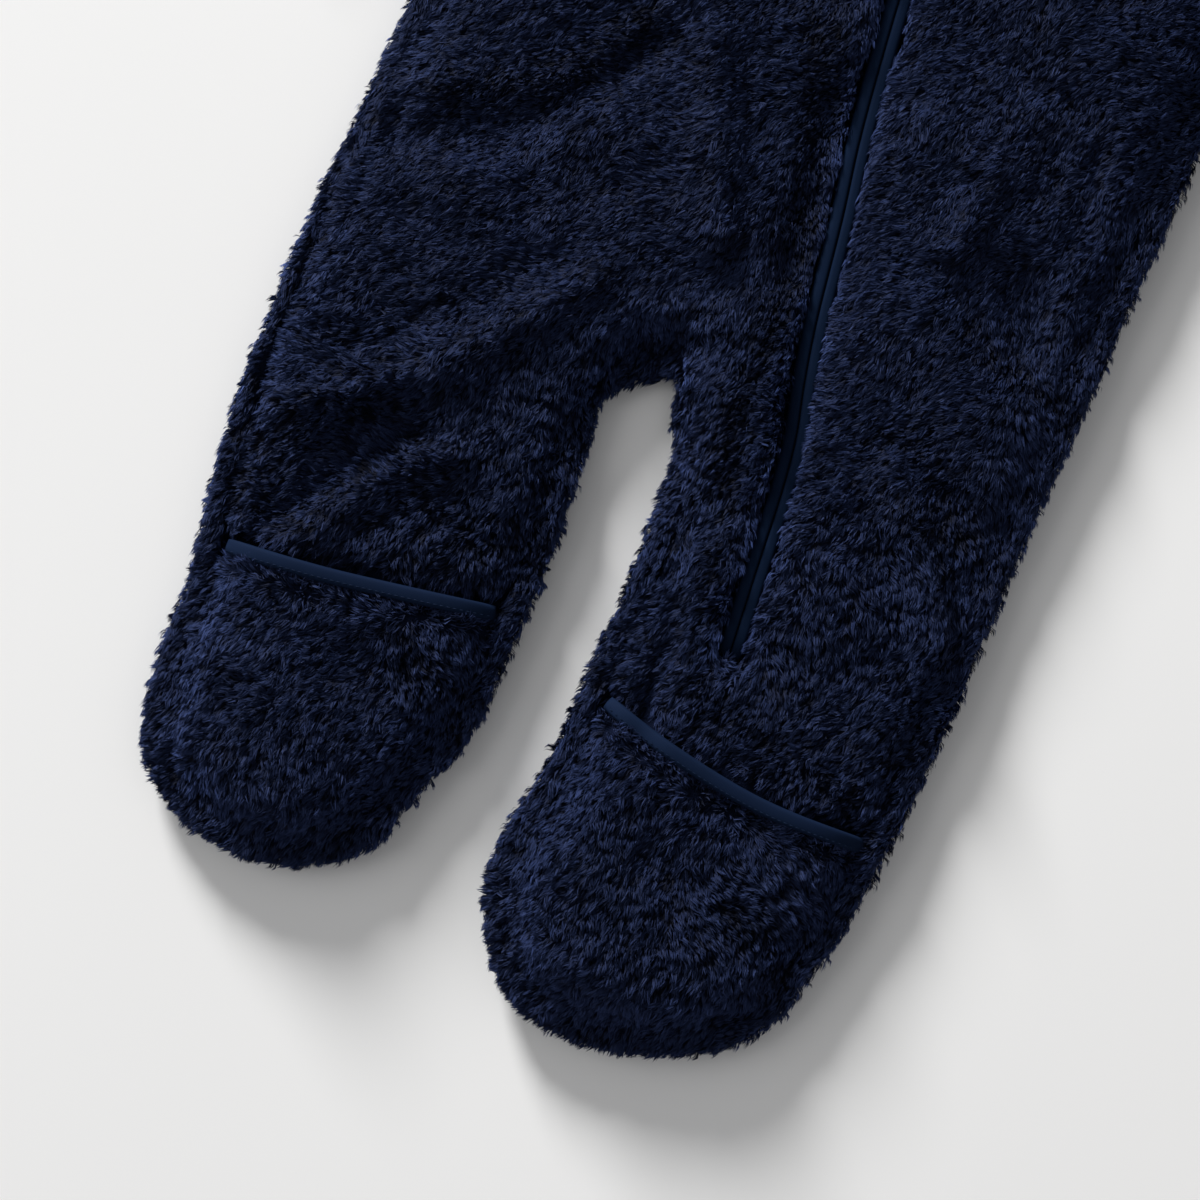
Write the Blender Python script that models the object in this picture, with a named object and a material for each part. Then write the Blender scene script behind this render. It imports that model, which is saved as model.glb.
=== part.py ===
"""Baby's deep-pile fleece overall with foot covers, lying flat on its back.

One solid for each piece that a maker cuts and sews on. All sizes are in millimetres until
a mesh is made. x runs to the wearer's left, y from the feet to the head and z up from the
surface; y = 0 is the crotch. The whole garment is moved at the end so that its origin is
the middle of its box, on the surface. Every outline includes the tips of the pile.
"""
import math

import bmesh
import bpy
import numpy as np
from mathutils.geometry import delaunay_2d_cdt

MM = 0.001

# ---------------------------------------------------------------- driving dimensions
SEAM_GAP = 0.3            # clear gap between two pieces that are sewn together
RIM_STEP = 11.0           # spacing of the sections along a rounded edge
PANEL_STEP = 10.0         # spacing of the points on a panel's outer face
UNDERSIDE_STEP = 34.0     # spacing of the points on a hidden inner face
SEAM_STEP = 12.0          # spacing of the points along the zip and the sewn seams
TRIM_STEP = 9.0           # the same along a binding

BACK_WALL = 8.0           # pressed thickness of the back, which the garment lies on
PILE_TOP = 22.5           # height of the front's pile over the surface
FRONT_WALL = 11.0         # front cloth with its pile
FRONT_LEAST = 2.5         # the same where a foot cover's corner presses it down
LAYER_GAP = 3.4           # most air left between front and back
SEAM_HEIGHT = 14.6        # height of the side seams
RIM_WIDTH = 10.6          # how far the back wraps round to the front
FRONT_INSET = RIM_WIDTH + SEAM_GAP
RIM_END = 3.0             # where the wrap dies out, up the armhole from the underarm
WRAP_FREE = 24.0          # round the crotch the back doesn't wrap, to this distance
WRAP_RISE = 30.0          # and past it the wrap grows to its width over this distance
CROTCH_INSET = 1.0        # front's inset from the outline where nothing wraps round

COVER_TOP = 29.0          # height of the foot covers over the surface
COVER_WALL = 10.5
COVER_ROLL = 34.0         # width over which a cover rounds down to its seam
COVER_RISE = 1.1          # slope at which the leg may rise past a cover's binding
TONGUE_INSET = 19.5       # the leg's hidden end inside its foot cover
TONGUE_CLEARANCE = 1.7
TONGUE_CORNER = 6.0       # its rounded end starts this far below the binding's line
COVER_EDGE = 6.0          # a cover's round edge starts this far below its binding

BINDING_WIDTH = 6.5
BINDING_DEPTH = 6.0
ZIP_TAPE_WIDTH = 5.0      # one side of the zip, coil to fleece
ZIP_TAPE_DEPTH = 4.0      # tape on the turned edge it is sewn to
ZIP_TAPE_TOP = 15.3
ZIP_SPLIT = 0.2           # half the gap between the two coils
ZIP_EDGE = ZIP_SPLIT + ZIP_TAPE_WIDTH + SEAM_GAP
ZIP_END_GAP = 2.0         # tape's end to the seam below it, and neck binding to tape
NECK_BINDING_TOP = 16.9
NECK_BINDING_DEPTH = 8.0

# Rounded falls of the pile to its edges: depth at the edge, width of the fall.
SIDE_FALL = (PILE_TOP - SEAM_HEIGHT, 20.0)
CROTCH_FALL = (5.0, 12.0)
NECK_FALL = (6.0, 16.0)
SHOULDER_FALL = (9.0, 20.0)
ARMHOLE_FALL = (1.5, 9.0)
ZIP_FALL = (3.0, 8.0)
SPLIT_FALL = (1.6, 7.0)
BOUND_FALL = (1.4, 8.0)

UNDERARM = (156.0, 235.0)
SHOULDER_TIP = (118.0, 345.0)
NECK_POINT = (38.0, 368.0)
CROTCH = (3.0, 8.4)
ARMHOLE_BOW = -0.6        # armholes curve in a little, shoulders bulge a little
SHOULDER_BOW = 2.0

# The side seams' outline: y, wearer's right side, wearer's left side.
SIDE_ROWS = [
    (235.0, -156.0, 156.0),
    (190.0, -158.5, 158.0),
    (95.0, -159.0, 158.5),
    (10.0, -160.0, 159.0),
    (-25.0, -159.5, 160.0),
    (-73.0, -157.0, 161.5),
    (-121.0, -149.5, 161.0),
    (-147.0, -143.5, 159.5),
    (-169.0, -144.0, 158.0),
    (-193.0, -140.0, 152.5),
]

# The inner legs' outline: y, wearer's right leg, wearer's left leg.
INSEAM_ROWS = [
    (-10.0, -20.0, 8.5),
    (-25.0, -20.0, 15.0),
    (-49.0, -16.5, 16.5),
    (-85.0, -12.5, 18.0),
    (-121.0, -11.5, 18.5),
    (-150.0, -11.5, 18.5),
    (-169.0, -13.5, 16.5),
    (-193.0, -23.0, 13.5),
]

# The rounded toes below the last rows: y of the tip, sideways lean of the tip.
TOES = {"right": (-243.0, 0.0), "left": (-255.0, -15.0)}
TOE_POINTS = 9

# The front's edge over the crotch, above the back's: x, y.
FRONT_CROTCH = [(-27.0, -14.0), (-22.0, 4.0), (-15.6, 16.6), (-3.6, 23.0), (4.2, 7.0)]

# Upper edge of each foot cover's binding, from the wearer's right to left: x, y.
BINDING_LINES = {
    "right": [(-135.0, -128.0), (-96.0, -122.5), (-63.0, -116.0), (-25.2, -108.0)],
    "left": [(31.6, -121.8), (52.0, -127.0), (82.0, -132.0), (109.0, -134.0), (148.2, -132.0)],
}

# Where the coils meet, from the neck to the zip's end: x, y.
ZIP_LINE = [
    (3.0, 322.0), (13.0, 243.0), (21.0, 179.0), (29.0, 127.0), (36.5, 91.0),
    (44.0, 50.0), (50.0, 24.5), (56.0, 3.0), (60.0, -20.0), (64.0, -55.0), (68.0, -89.0),
]
SPLIT_LINE_X = 68.0       # the seam that carries on below the zip

# Panel edges round the neck, from the wearer's right to left: x, y.
FRONT_NECK = [(-38.0, 368.0), (-33.5, 345.0), (-20.0, 326.0), (0.0, 319.0), (20.0, 326.0),
              (33.5, 345.0), (38.0, 368.0)]
BACK_NECK = [(-38.0, 368.0), (-20.0, 356.5), (0.0, 353.0), (20.0, 356.5), (38.0, 368.0)]

# Section of the back's edge where it wraps round: inset from the outline, height.
RIM_PROFILE = [
    (10.0, 0.0), (4.5, 1.0), (1.2, 4.2), (0.0, 8.6), (1.0, 12.8),
    (4.0, 15.9), (7.5, 16.6), (10.3, 15.0), (RIM_WIDTH, BACK_WALL),
]

# Largest folds of the front and covers: start x, y, end x, y, half width, height.
FOLDS = {
    "right thigh fold, upper": (-42, 34, -86, -26, 13, 3.2),
    "right thigh fold, outer": (-86, -26, -132, -60, 11, 2.6),
    "hollow under the thigh fold": (-92, -48, -124, -104, 12, -5.0),
    "right shin fold": (-76, -58, -110, -106, 10, 3.0),
    "right hip hollow": (-66, 134, -106, 76, 13, -5.0),
    "right hip fold": (-42, 150, -12, 64, 15, 2.8),
    "hollow beside the zip": (20, 140, 27, 54, 9, -3.0),
    "crotch crease": (-26, 6, 8, 44, 7, -4.5),
    "right side hollow": (-134, 52, -126, 22, 14, -2.5),
    "left hip hollow": (122, 92, 126, 66, 16, -3.5),
    "left thigh fold": (82, 74, 128, 46, 10, 2.2),
    "left knee fold": (98, 8, 140, -42, 8, 3.0),
    "left knee hollow": (96, -4, 112, -26, 9, -3.0),
    "left waist fold": (96, 145, 76, 84, 16, 2.0),
    "left shin crease": (42, -94, 50, -128, 5, -4.5),
    "right cover hollow": (-62, -165, -56, -190, 18, -2.5),
    "right cover toe": (-94, -200, -82, -220, 16, 1.6),
    "left cover hollow": (72, -172, 134, -168, 12, -2.0),
    "left cover toe": (62, -222, 96, -228, 15, 1.6),
    "right chest fold": (-120, 218, -62, 192, 14, 2.5),
    "chest hollow": (-34, 236, 2, 214, 12, -2.5),
    "left chest fold": (58, 226, 112, 202, 14, 2.2),
    "right armhole crease": (-132, 262, -98, 240, 9, -3.0),
    "left armhole crease": (134, 258, 100, 240, 9, -3.0),
    "right sleeve crease": (-172, 284, -198, 238, 8, -2.6),
    "left sleeve crease": (168, 286, 200, 240, 8, -2.6),
    "right cuff fold": (-220, 214, -256, 194, 8, 1.6),
    "left cuff fold": (214, 210, 252, 196, 8, 1.6),
}

# The left sleeve's plan, armhole to cuff: lower edge x, y, upper edge x, y, height.
SLEEVE_ROWS = [
    (156.6, 234.9, 118.6, 344.9, 21.5),
    (168.0, 214.0, 153.0, 326.0, 21.5),
    (196.0, 178.0, 218.0, 269.0, 20.5),
    (232.0, 137.0, 288.0, 199.0, 19.0),
]
SLEEVE_SECTIONS = 12
SLEEVE_MIDDLE = 9.8       # height of the flat slit inside the sleeve
SLIT_MARGIN = 11.0        # sleeve edge to slit
SLIT_FLATNESS = 0.12
CUFF_HEIGHT = 17.0
CUFF_MARGIN = 3.0         # how far the cuff draws the sleeve in at each edge

# Half of a flattened tube's section: distance in from the edge, part of the height.
TUBE_EDGE = [(10.0, 0.0), (4.5, 0.05), (1.2, 0.21), (0.0, 0.45), (1.4, 0.70), (5.5, 0.88),
             (12.5, 0.97)]
TUBE_TOP = (0.3, 0.5, 0.7)   # further points across the top, as parts of the width

# Zip slider and pull tab.
SLIDER_FROM_NECK = 13.0   # slider's middle, measured down the zip from its top
SLIDER_WIDTH = 8.6
SLIDER_LENGTH = 11.0
SLIDER_DEPTH = 2.4
LUG_WIDTH = 2.2
LUG_WALL = 1.2
LUG_HOLE = (3.0, 2.6)     # along the zip, height
PULL_DEPTH = 1.2
PULL_WIDTH = 6.6
PULL_NECK = 4.6           # distance from the axis to the end of the ring's slot
PULL_SLOT_WIDTH = 3.2
PULL_BAR = 0.6            # half thickness of the bar in the lug
PULL_LENGTH = 26.0

FLEECE = (0.010, 0.015, 0.034)
BINDING = (0.008, 0.022, 0.050)
TAPE = (0.006, 0.013, 0.030)
METAL = (0.020, 0.025, 0.040)


# ---------------------------------------------------------------- curves in the plan
def smooth_curve(points, step):
    """Curve through the points, as evenly spaced points about `step` apart."""
    p = np.array(points, float)
    p = np.vstack([2 * p[0] - p[1], p, 2 * p[-1] - p[-2]])
    dense = [p[1]]
    for a, b, c, d in zip(p, p[1:], p[2:], p[3:]):
        for t in np.linspace(0, 1, 17)[1:]:
            dense.append(0.5 * (2 * b + (c - a) * t + (2 * a - 5 * b + 4 * c - d) * t ** 2
                                + (3 * b - a - 3 * c + d) * t ** 3))
    return spaced(dense, step)


def spaced(path, step):
    """The same path, with its points evenly spaced about `step` apart."""
    path = np.array(path, float)
    run = np.concatenate([[0], np.cumsum(np.linalg.norm(np.diff(path, axis=0), axis=1))])
    stations = np.linspace(0, run[-1], max(2, round(run[-1] / step) + 1))
    return np.column_stack([np.interp(stations, run, path[:, k])
                            for k in range(path.shape[1])])


def left_normals(path):
    """Unit normals to the left of an open path, scaled so that an offset keeps its width."""
    along = np.diff(path, axis=0)
    along /= np.linalg.norm(along, axis=1)[:, None]
    side = np.column_stack([-along[:, 1], along[:, 0]])
    mean = np.vstack([side[:1], side[1:] + side[:-1], side[-1:]])
    mean /= np.linalg.norm(mean, axis=1)[:, None]
    half_turn = np.concatenate([[1], (mean[1:-1] * side[1:]).sum(axis=1), [1]])
    return mean / np.maximum(half_turn, 0.6)[:, None]


def offset(path, distance):
    """The path moved to its left by a distance, or by one distance at each point."""
    return path + left_normals(path) * np.reshape(distance, (-1, 1))


def distance_to(points, path):
    """Shortest distance from each point to a path."""
    best = np.full(len(points), np.inf)
    for a, b in zip(path[:-1], path[1:]):
        ab = b - a
        t = np.clip((points - a) @ ab / (ab @ ab), 0, 1)
        best = np.minimum(best, np.linalg.norm(points - a - t[:, None] * ab, axis=1))
    return best


def inside(points, loop):
    """Whether each point lies inside a closed loop."""
    found = np.zeros(len(points), bool)
    for (x0, y0), (x1, y1) in zip(loop, np.roll(loop, -1, axis=0)):
        if y0 == y1:
            continue
        crosses = (points[:, 1] < y0) != (points[:, 1] < y1)
        edge_x = x0 + (points[:, 1] - y0) * (x1 - x0) / (y1 - y0)
        found ^= crosses & (points[:, 0] < edge_x)
    return found


# ---------------------------------------------------------------- the garment's outline
def toe_arc(outer, inner, tip_y, lean):
    """Half ellipse round a toe, from the leg's outer side to its inner side."""
    middle, half_width = (outer[0] + inner[0]) / 2, (outer[0] - inner[0]) / 2
    depth = outer[1] - tip_y
    arc = []
    for angle in np.linspace(0, math.pi, TOE_POINTS + 2)[1:-1]:
        drop = math.sin(angle)
        arc.append((middle + half_width * math.cos(angle) + lean * drop ** 4,
                    outer[1] - depth * drop))
    return arc


def half_outline(foot):
    """One half's outline: underarm, side, toe, inner leg, crotch."""
    column = 1 if foot == "right" else 2
    side = [(row[column], row[0]) for row in SIDE_ROWS]
    inseam = [(row[column], row[0]) for row in reversed(INSEAM_ROWS)]
    arc = toe_arc(side[-1], inseam[0], *TOES[foot])
    return smooth_curve(side + arc + inseam + [CROTCH], RIM_STEP)


RIGHT_HALF = half_outline("right")
LEFT_HALF = half_outline("left")[::-1]
RIM = np.vstack([RIGHT_HALF, LEFT_HALF[1:]])


def wrap(path):
    """How far the back wraps round at each point: 1 on the legs, 0 over the crotch."""
    reach = np.linalg.norm(path - np.array(CROTCH), axis=1)
    return np.clip((reach - WRAP_FREE) / WRAP_RISE, 0, 1)


def shortened(path, cut):
    """The path with `cut` taken off its first stretch."""
    along = path[1] - path[0]
    return np.vstack([path[0] + along * cut / np.linalg.norm(along), path[1:]])


def bowed(a, b, step, bow):
    """Points from a to b on a shallow arc that bulges to the right by `bow`."""
    a, b = np.array(a, float), np.array(b, float)
    count = max(1, round(np.linalg.norm(b - a) / step))
    t = np.linspace(0, 1, count + 1)[:, None]
    right = np.array([(b - a)[1], (a - b)[0]]) / np.linalg.norm(b - a)
    return a + (b - a) * t + right * 4 * bow * t * (1 - t)


def armhole(step, start=RIM_END):
    """The left armhole, from `start` above the underarm to the shoulder tip."""
    along = np.array(SHOULDER_TIP) - np.array(UNDERARM)
    first = np.array(UNDERARM) + along / np.linalg.norm(along) * start
    return bowed(first, SHOULDER_TIP, step, ARMHOLE_BOW)


def shoulder_seam(step):
    """The left shoulder, from its tip to the neck."""
    return bowed(SHOULDER_TIP, NECK_POINT, step, SHOULDER_BOW)


# ---------------------------------------------------------------- mesh helpers
def make_object(name, vertices, faces, colour, roughness=0.9, metallic=0.0):
    """One closed body, its faces turned outwards, with its own material."""
    mesh = bpy.data.meshes.new(name)
    mesh.from_pydata([(x * MM, y * MM, z * MM) for x, y, z in vertices], [], faces)
    body = bmesh.new()
    body.from_mesh(mesh)
    bmesh.ops.remove_doubles(body, verts=body.verts, dist=0.00001)
    bmesh.ops.recalc_face_normals(body, faces=body.faces)
    body.to_mesh(mesh)
    body.free()
    mesh.shade_smooth()
    mesh.set_sharp_from_angle(angle=math.radians(50))
    material = bpy.data.materials.new(name)
    material.use_nodes = True
    shader = material.node_tree.nodes["Principled BSDF"]
    shader.inputs["Base Color"].default_value = (*colour, 1.0)
    shader.inputs["Roughness"].default_value = roughness
    shader.inputs["Metallic"].default_value = metallic
    mesh.materials.append(material)
    thing = bpy.data.objects.new(name, mesh)
    bpy.context.scene.collection.objects.link(thing)
    return thing


def fill(loop, step):
    """Even triangles inside a loop: its points first, then the points added inside."""
    low, high = loop.min(axis=0), loop.max(axis=0)
    row_step = step * math.sqrt(3) / 2
    grid = []
    for row, y in enumerate(np.arange(low[1] + row_step / 2, high[1], row_step)):
        start = low[0] + (step / 2 if row % 2 else 0)
        grid.extend((x, y) for x in np.arange(start, high[0], step))
    grid = np.array(grid)
    closed = np.vstack([loop, loop[:1]])
    grid = grid[inside(grid, loop) & (distance_to(grid, closed) > 0.55 * step)]
    points = np.vstack([loop, grid])
    return points, triangles_in(points, loop)


def triangles_in(points, loop):
    """Triangles between the points that lie inside the loop, which the points start with."""
    border = [(k, (k + 1) % len(loop)) for k in range(len(loop))]
    _, _, faces, source, _, _ = delaunay_2d_cdt([tuple(p) for p in points], border, [],
                                                0, 0.00001, True)
    faces = np.array([[source[v][0] for v in face] for face in faces])
    return faces[inside(points[faces].mean(axis=1), loop)].tolist()


def cloth_panel(name, loop, top, underside, underside_step=UNDERSIDE_STEP):
    """A cut piece of cloth: one outline filled between its outer and its inner face."""
    upper, upper_faces = fill(loop, PANEL_STEP)
    lower, lower_faces = fill(loop, underside_step)
    heights = np.concatenate([top(upper), underside(lower)])
    vertices = np.column_stack([np.vstack([upper, lower]), heights])
    first = len(upper)
    count = len(loop)
    faces = list(upper_faces)
    faces += [[first + v for v in reversed(face)] for face in lower_faces]
    for k in range(count):
        after = (k + 1) % count
        faces.append([k, first + k, first + after, after])
    return make_object(name, vertices, faces, FLEECE)


def strip(name, path, width, depth, tops, colour, bevel=1.0):
    """A flat band along a path in the plan, its upper face at one height for each point."""
    half = width / 2
    section = [(-half, bevel - depth), (bevel - half, -depth), (half - bevel, -depth),
               (half, bevel - depth), (half, -bevel), (half - bevel, 0.0),
               (bevel - half, 0.0), (-half, -bevel)]
    side = left_normals(path)
    vertices = []
    for (x, y), (nx, ny), top in zip(path, side, tops):
        vertices.extend((x + nx * across, y + ny * across, top + up) for across, up in section)
    return make_object(name, vertices, tube_faces(len(path), len(section)), colour)


def tube_faces(rings, around):
    """Faces of a closed tube of rings, with both ends capped."""
    faces = []
    for ring in range(rings - 1):
        for k in range(around):
            after = (k + 1) % around
            a, b = ring * around, (ring + 1) * around
            faces.append([a + k, a + after, b + after, b + k])
    faces.append(list(range(around)))
    faces.append([(rings - 1) * around + k for k in reversed(range(around))])
    return faces


# ---------------------------------------------------------------- heights of the cloth
def folds_at(points):
    """Sum of the folds' soft ridges and troughs."""
    total = np.zeros(len(points))
    for x0, y0, x1, y1, half_width, height in FOLDS.values():
        gap = distance_to(points, np.array([(x0, y0), (x1, y1)], float))
        total += height * np.exp(-(gap / half_width) ** 2)
    return total


def fall(points, path, depth, reach):
    """Rounded fall to an edge: `depth` on the edge and nothing past `reach`."""
    near = 1 - np.clip(distance_to(points, path) / reach, 0, 1)
    return depth * (1 - np.sqrt(1 - near ** 2))


def layer_underside(points, top, wall):
    """Inner face of a layer over the back: one wall below its top, close to the back."""
    return BACK_WALL + SEAM_GAP + np.clip(top(points) - wall - BACK_WALL, 0, LAYER_GAP)


def foot_rim(foot):
    """The outline round one foot, where its cover is sewn to the back."""
    half = RIGHT_HALF if foot == "right" else LEFT_HALF
    return offset(half, FRONT_INSET)


def binding_line(foot):
    return smooth_curve(BINDING_LINES[foot], TRIM_STEP)


def cover_top(foot):
    """Height of a foot cover's pile as a function of the place."""
    seam = foot_rim(foot)
    edge = offset(binding_line(foot), -BINDING_WIDTH - SEAM_GAP)

    def top(points):
        drop = fall(points, seam, COVER_TOP - SEAM_HEIGHT, COVER_ROLL)
        return COVER_TOP + folds_at(points) - drop - fall(points, edge, *BOUND_FALL)
    return top


def under_cover(foot):
    """Highest the leg may reach: under the cover, and rising clear of its binding."""
    seam = foot_rim(foot)
    line = binding_line(foot)

    def limit(points):
        drop = fall(points, seam, COVER_TOP - SEAM_HEIGHT, COVER_ROLL)
        pressed = COVER_TOP - drop - COVER_WALL - TONGUE_CLEARANCE
        pressed += np.minimum(folds_at(points), 0)
        above = points[:, 1] - np.interp(points[:, 0], line[:, 0], line[:, 1])
        return pressed + COVER_RISE * np.clip(above, 0, None)
    return limit


def front_top(edges):
    """Height of a front panel's pile: rounded falls to its edges, folds, foot covers."""
    limits = [under_cover("right"), under_cover("left")]

    def top(points):
        falls = [fall(points, *edge) for edge in edges]
        height = PILE_TOP + folds_at(points) - np.max(falls, axis=0)
        height = np.maximum(height, SEAM_HEIGHT - 1.0)
        feet = points[:, 1] < -60
        for side, limit in zip((points[:, 0] < 0, points[:, 0] >= 0), limits):
            near = feet & side
            if near.any():
                height[near] = np.minimum(height[near], limit(points[near]))
        return np.maximum(height, BACK_WALL + SEAM_GAP + FRONT_LEAST)
    return top


# ---------------------------------------------------------------- outlines of the fronts
def below_binding(path, foot, margin):
    """The points of a path that lie under a foot's binding line."""
    line = binding_line(foot)
    y = np.interp(path[:, 0], line[:, 0], line[:, 1])
    return path[path[:, 1] < y - margin]


def front_edges():
    """Named edges of the two fronts, each in its own drawing direction."""
    inset = {"right": offset(RIGHT_HALF, front_inset(RIGHT_HALF)),
             "left": offset(LEFT_HALF, front_inset(LEFT_HALF))}
    tongue = {"right": offset(RIGHT_HALF, TONGUE_INSET), "left": offset(LEFT_HALF, TONGUE_INSET)}
    lines = {foot: binding_line(foot) + (0.0, 1.0) for foot in ("right", "left")}
    edges = {}
    edges["right side"] = leg_side(inset["right"], lines["right"][0], outer=True)
    edges["right tongue"] = np.vstack([lines["right"][:2],
                                       below_binding(tongue["right"], "right",
                                                     TONGUE_CORNER),
                                       lines["right"][-2:]])
    edges["right inseam"] = leg_side(inset["right"], lines["right"][-1], outer=False)
    edges["crotch"] = smooth_curve(FRONT_CROTCH, 7.0)
    edges["left inseam"] = leg_side(inset["left"], lines["left"][0], outer=False)
    left_tongue = np.vstack([lines["left"][:2],
                             below_binding(tongue["left"], "left", TONGUE_CORNER),
                             lines["left"][-2:]])
    past_split = left_tongue[:, 0] - SPLIT_LINE_X
    edges["left tongue, inner"] = left_tongue[past_split < -4.0]
    edges["left tongue, outer"] = left_tongue[past_split > 4.0]
    edges["left side"] = leg_side(inset["left"], lines["left"][-1], outer=True)
    return edges


def front_inset(path):
    """Inset of the fronts from the outline: the wrap's width, or a little at the crotch."""
    return FRONT_INSET * wrap(path) + CROTCH_INSET * (1 - wrap(path))


def leg_side(path, corner, outer):
    """The part of a leg's edge above its binding's corner, on its outer or inner side."""
    toe = int(np.argmin(path[:, 1]))
    first_is_outer = path[0, 1] > 100
    use_start = outer == first_is_outer
    part = path[:toe] if use_start else path[toe + 1:]
    part = part[part[:, 1] > corner[1] + 4.0]
    if not outer:
        part = part[part[:, 1] < -20.0]
    return part


def zip_centre():
    return smooth_curve(ZIP_LINE, SEAM_STEP)


def neck_part(side):
    """The front neckline on one side of the zip, from the zip to the shoulder."""
    curve = smooth_curve(FRONT_NECK, TRIM_STEP)
    top = ZIP_LINE[0][0]
    if side == "right":
        return curve[curve[:, 0] < top - ZIP_EDGE - 3.0][::-1]
    return curve[curve[:, 0] > top + ZIP_EDGE + 3.0]


def fleece_by_zip(side):
    """The fleece edge along the zip, from above the neck down."""
    return offset(zip_centre(), ZIP_EDGE if side == "left" else -ZIP_EDGE)


def zip_edge(side):
    return fleece_by_zip(side)[1:]


def neck_corner(side):
    """Where the zip's edge meets the neckline."""
    edge = fleece_by_zip(side)[::-1]
    curve = smooth_curve(FRONT_NECK, TRIM_STEP)
    x = np.interp(FRONT_NECK[3][1], edge[:, 1], edge[:, 0])
    return np.array([(x, np.interp(x, curve[:, 0], curve[:, 1]))])


def hem_corner(edge, side):
    """Where the seam below the zip meets the leg's hidden end."""
    shift = SEAM_GAP / 2 if side == "left" else -SEAM_GAP / 2
    nearest = edge[np.argmin(abs(edge[:, 0] - SPLIT_LINE_X))]
    return np.array([(SPLIT_LINE_X + shift, nearest[1])])


def split_seam(side, low_y):
    """The seam below the zip, from the zip's end down."""
    shift = SEAM_GAP / 2 if side == "left" else -SEAM_GAP / 2
    end_y = ZIP_LINE[-1][1] - 1.0
    return spaced([(SPLIT_LINE_X + shift, end_y), (SPLIT_LINE_X + shift, low_y)], SEAM_STEP)


def mirror_path(path):
    return (path * (-1, 1))[::-1]


def build_fronts():
    """The two fronts: the right one crosses to the zip, the left one is outside it."""
    edges = front_edges()
    shoulder = shoulder_seam(SEAM_STEP)
    left_arm = armhole(SEAM_STEP, RIM_END + 2.5)
    right_arm = mirror_path(left_arm)
    inner_hem = hem_corner(edges["left tongue, inner"], "right")
    outer_hem = hem_corner(edges["left tongue, outer"], "left")
    zips = {side: zip_edge(side) for side in ("right", "left")}
    splits = {"right": split_seam("right", inner_hem[0, 1]),
              "left": split_seam("left", outer_hem[0, 1])}
    necks = {side: np.vstack([neck_corner(side), neck_part(side)]) for side in zips}

    right_loop = np.vstack([
        edges["right side"], edges["right tongue"], edges["right inseam"], edges["crotch"],
        edges["left inseam"], edges["left tongue, inner"], splits["right"][::-1],
        zips["right"][::-1], necks["right"][:-1], mirror_path(shoulder)[:-1], right_arm,
    ])
    left_loop = np.vstack([
        necks["left"][:1], zips["left"], splits["left"], edges["left tongue, outer"],
        edges["left side"], left_arm[:-1], shoulder[:-1], necks["left"][:0:-1],
    ])

    shared = [(offset(RIM, front_inset(RIM)), *SIDE_FALL), (edges["crotch"], *CROTCH_FALL),
              (smooth_curve(FRONT_NECK, TRIM_STEP), *NECK_FALL),
              (shoulder, *SHOULDER_FALL), (mirror_path(shoulder), *SHOULDER_FALL),
              (left_arm, *ARMHOLE_FALL), (right_arm, *ARMHOLE_FALL)]
    for side, loop in (("right", right_loop), ("left", left_loop)):
        own = [(zips[side], *ZIP_FALL), (splits[side], *SPLIT_FALL)]
        top = front_top(shared + own)
        cloth_panel("front_" + side, loop, top,
                    lambda points, top=top: layer_underside(points, top, FRONT_WALL))


# ---------------------------------------------------------------- the back
def build_back():
    """One panel, neck to toes, that wraps round to the front along the sides and legs."""
    arm = armhole(SEAM_STEP)
    shoulder = shoulder_seam(SEAM_STEP)
    neck = smooth_curve(BACK_NECK, TRIM_STEP)
    cut = np.vstack([arm[:-1], shoulder[:-1], neck[::-1], mirror_path(shoulder)[1:],
                     mirror_path(arm)[1:]])
    path = np.vstack([RIM, cut])
    inward = np.vstack([left_normals(RIM), np.zeros_like(cut)])
    share = np.concatenate([wrap(RIM), np.zeros(len(cut))])
    last = len(RIM_PROFILE) - 1
    rings = []
    for level, (inset, height) in enumerate(RIM_PROFILE):
        flat = BACK_WALL * level / last
        heights = share * height + (1 - share) * flat
        rings.append(np.column_stack([path + inward * (inset * share)[:, None], heights]))
    around = len(path)
    vertices = np.vstack(rings)
    faces = []
    for level in range(last):
        for k in range(around):
            after = (k + 1) % around
            a, b = level * around, (level + 1) * around
            faces.append([a + k, a + after, b + after, b + k])
    for level in (0, last):
        plan = rings[level][:, :2]
        faces += [[level * around + v for v in face] for face in triangles_in(plan, plan)]
    make_object("back", vertices, faces, FLEECE)


# ---------------------------------------------------------------- feet and bindings
def build_foot(foot):
    """A foot cover, sewn to the back at its rim, and the binding along its upper edge."""
    line = binding_line(foot)
    edge = offset(line, -BINDING_WIDTH - SEAM_GAP)
    rim = foot_rim(foot)
    round_toe = below_binding(rim, foot, BINDING_WIDTH + COVER_EDGE)
    top = cover_top(foot)
    loop = np.vstack([round_toe, edge[::-1]])
    cloth_panel("foot_cover_" + foot, loop, top,
                lambda points: cover_underside(points, foot, top), PANEL_STEP)
    middle = offset(line, -BINDING_WIDTH / 2)
    tops = np.maximum(top(middle) - 1.0, BACK_WALL + SEAM_GAP + BINDING_DEPTH + 0.6)
    strip("foot_binding_" + foot, middle, BINDING_WIDTH, BINDING_DEPTH, tops, BINDING)


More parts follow.
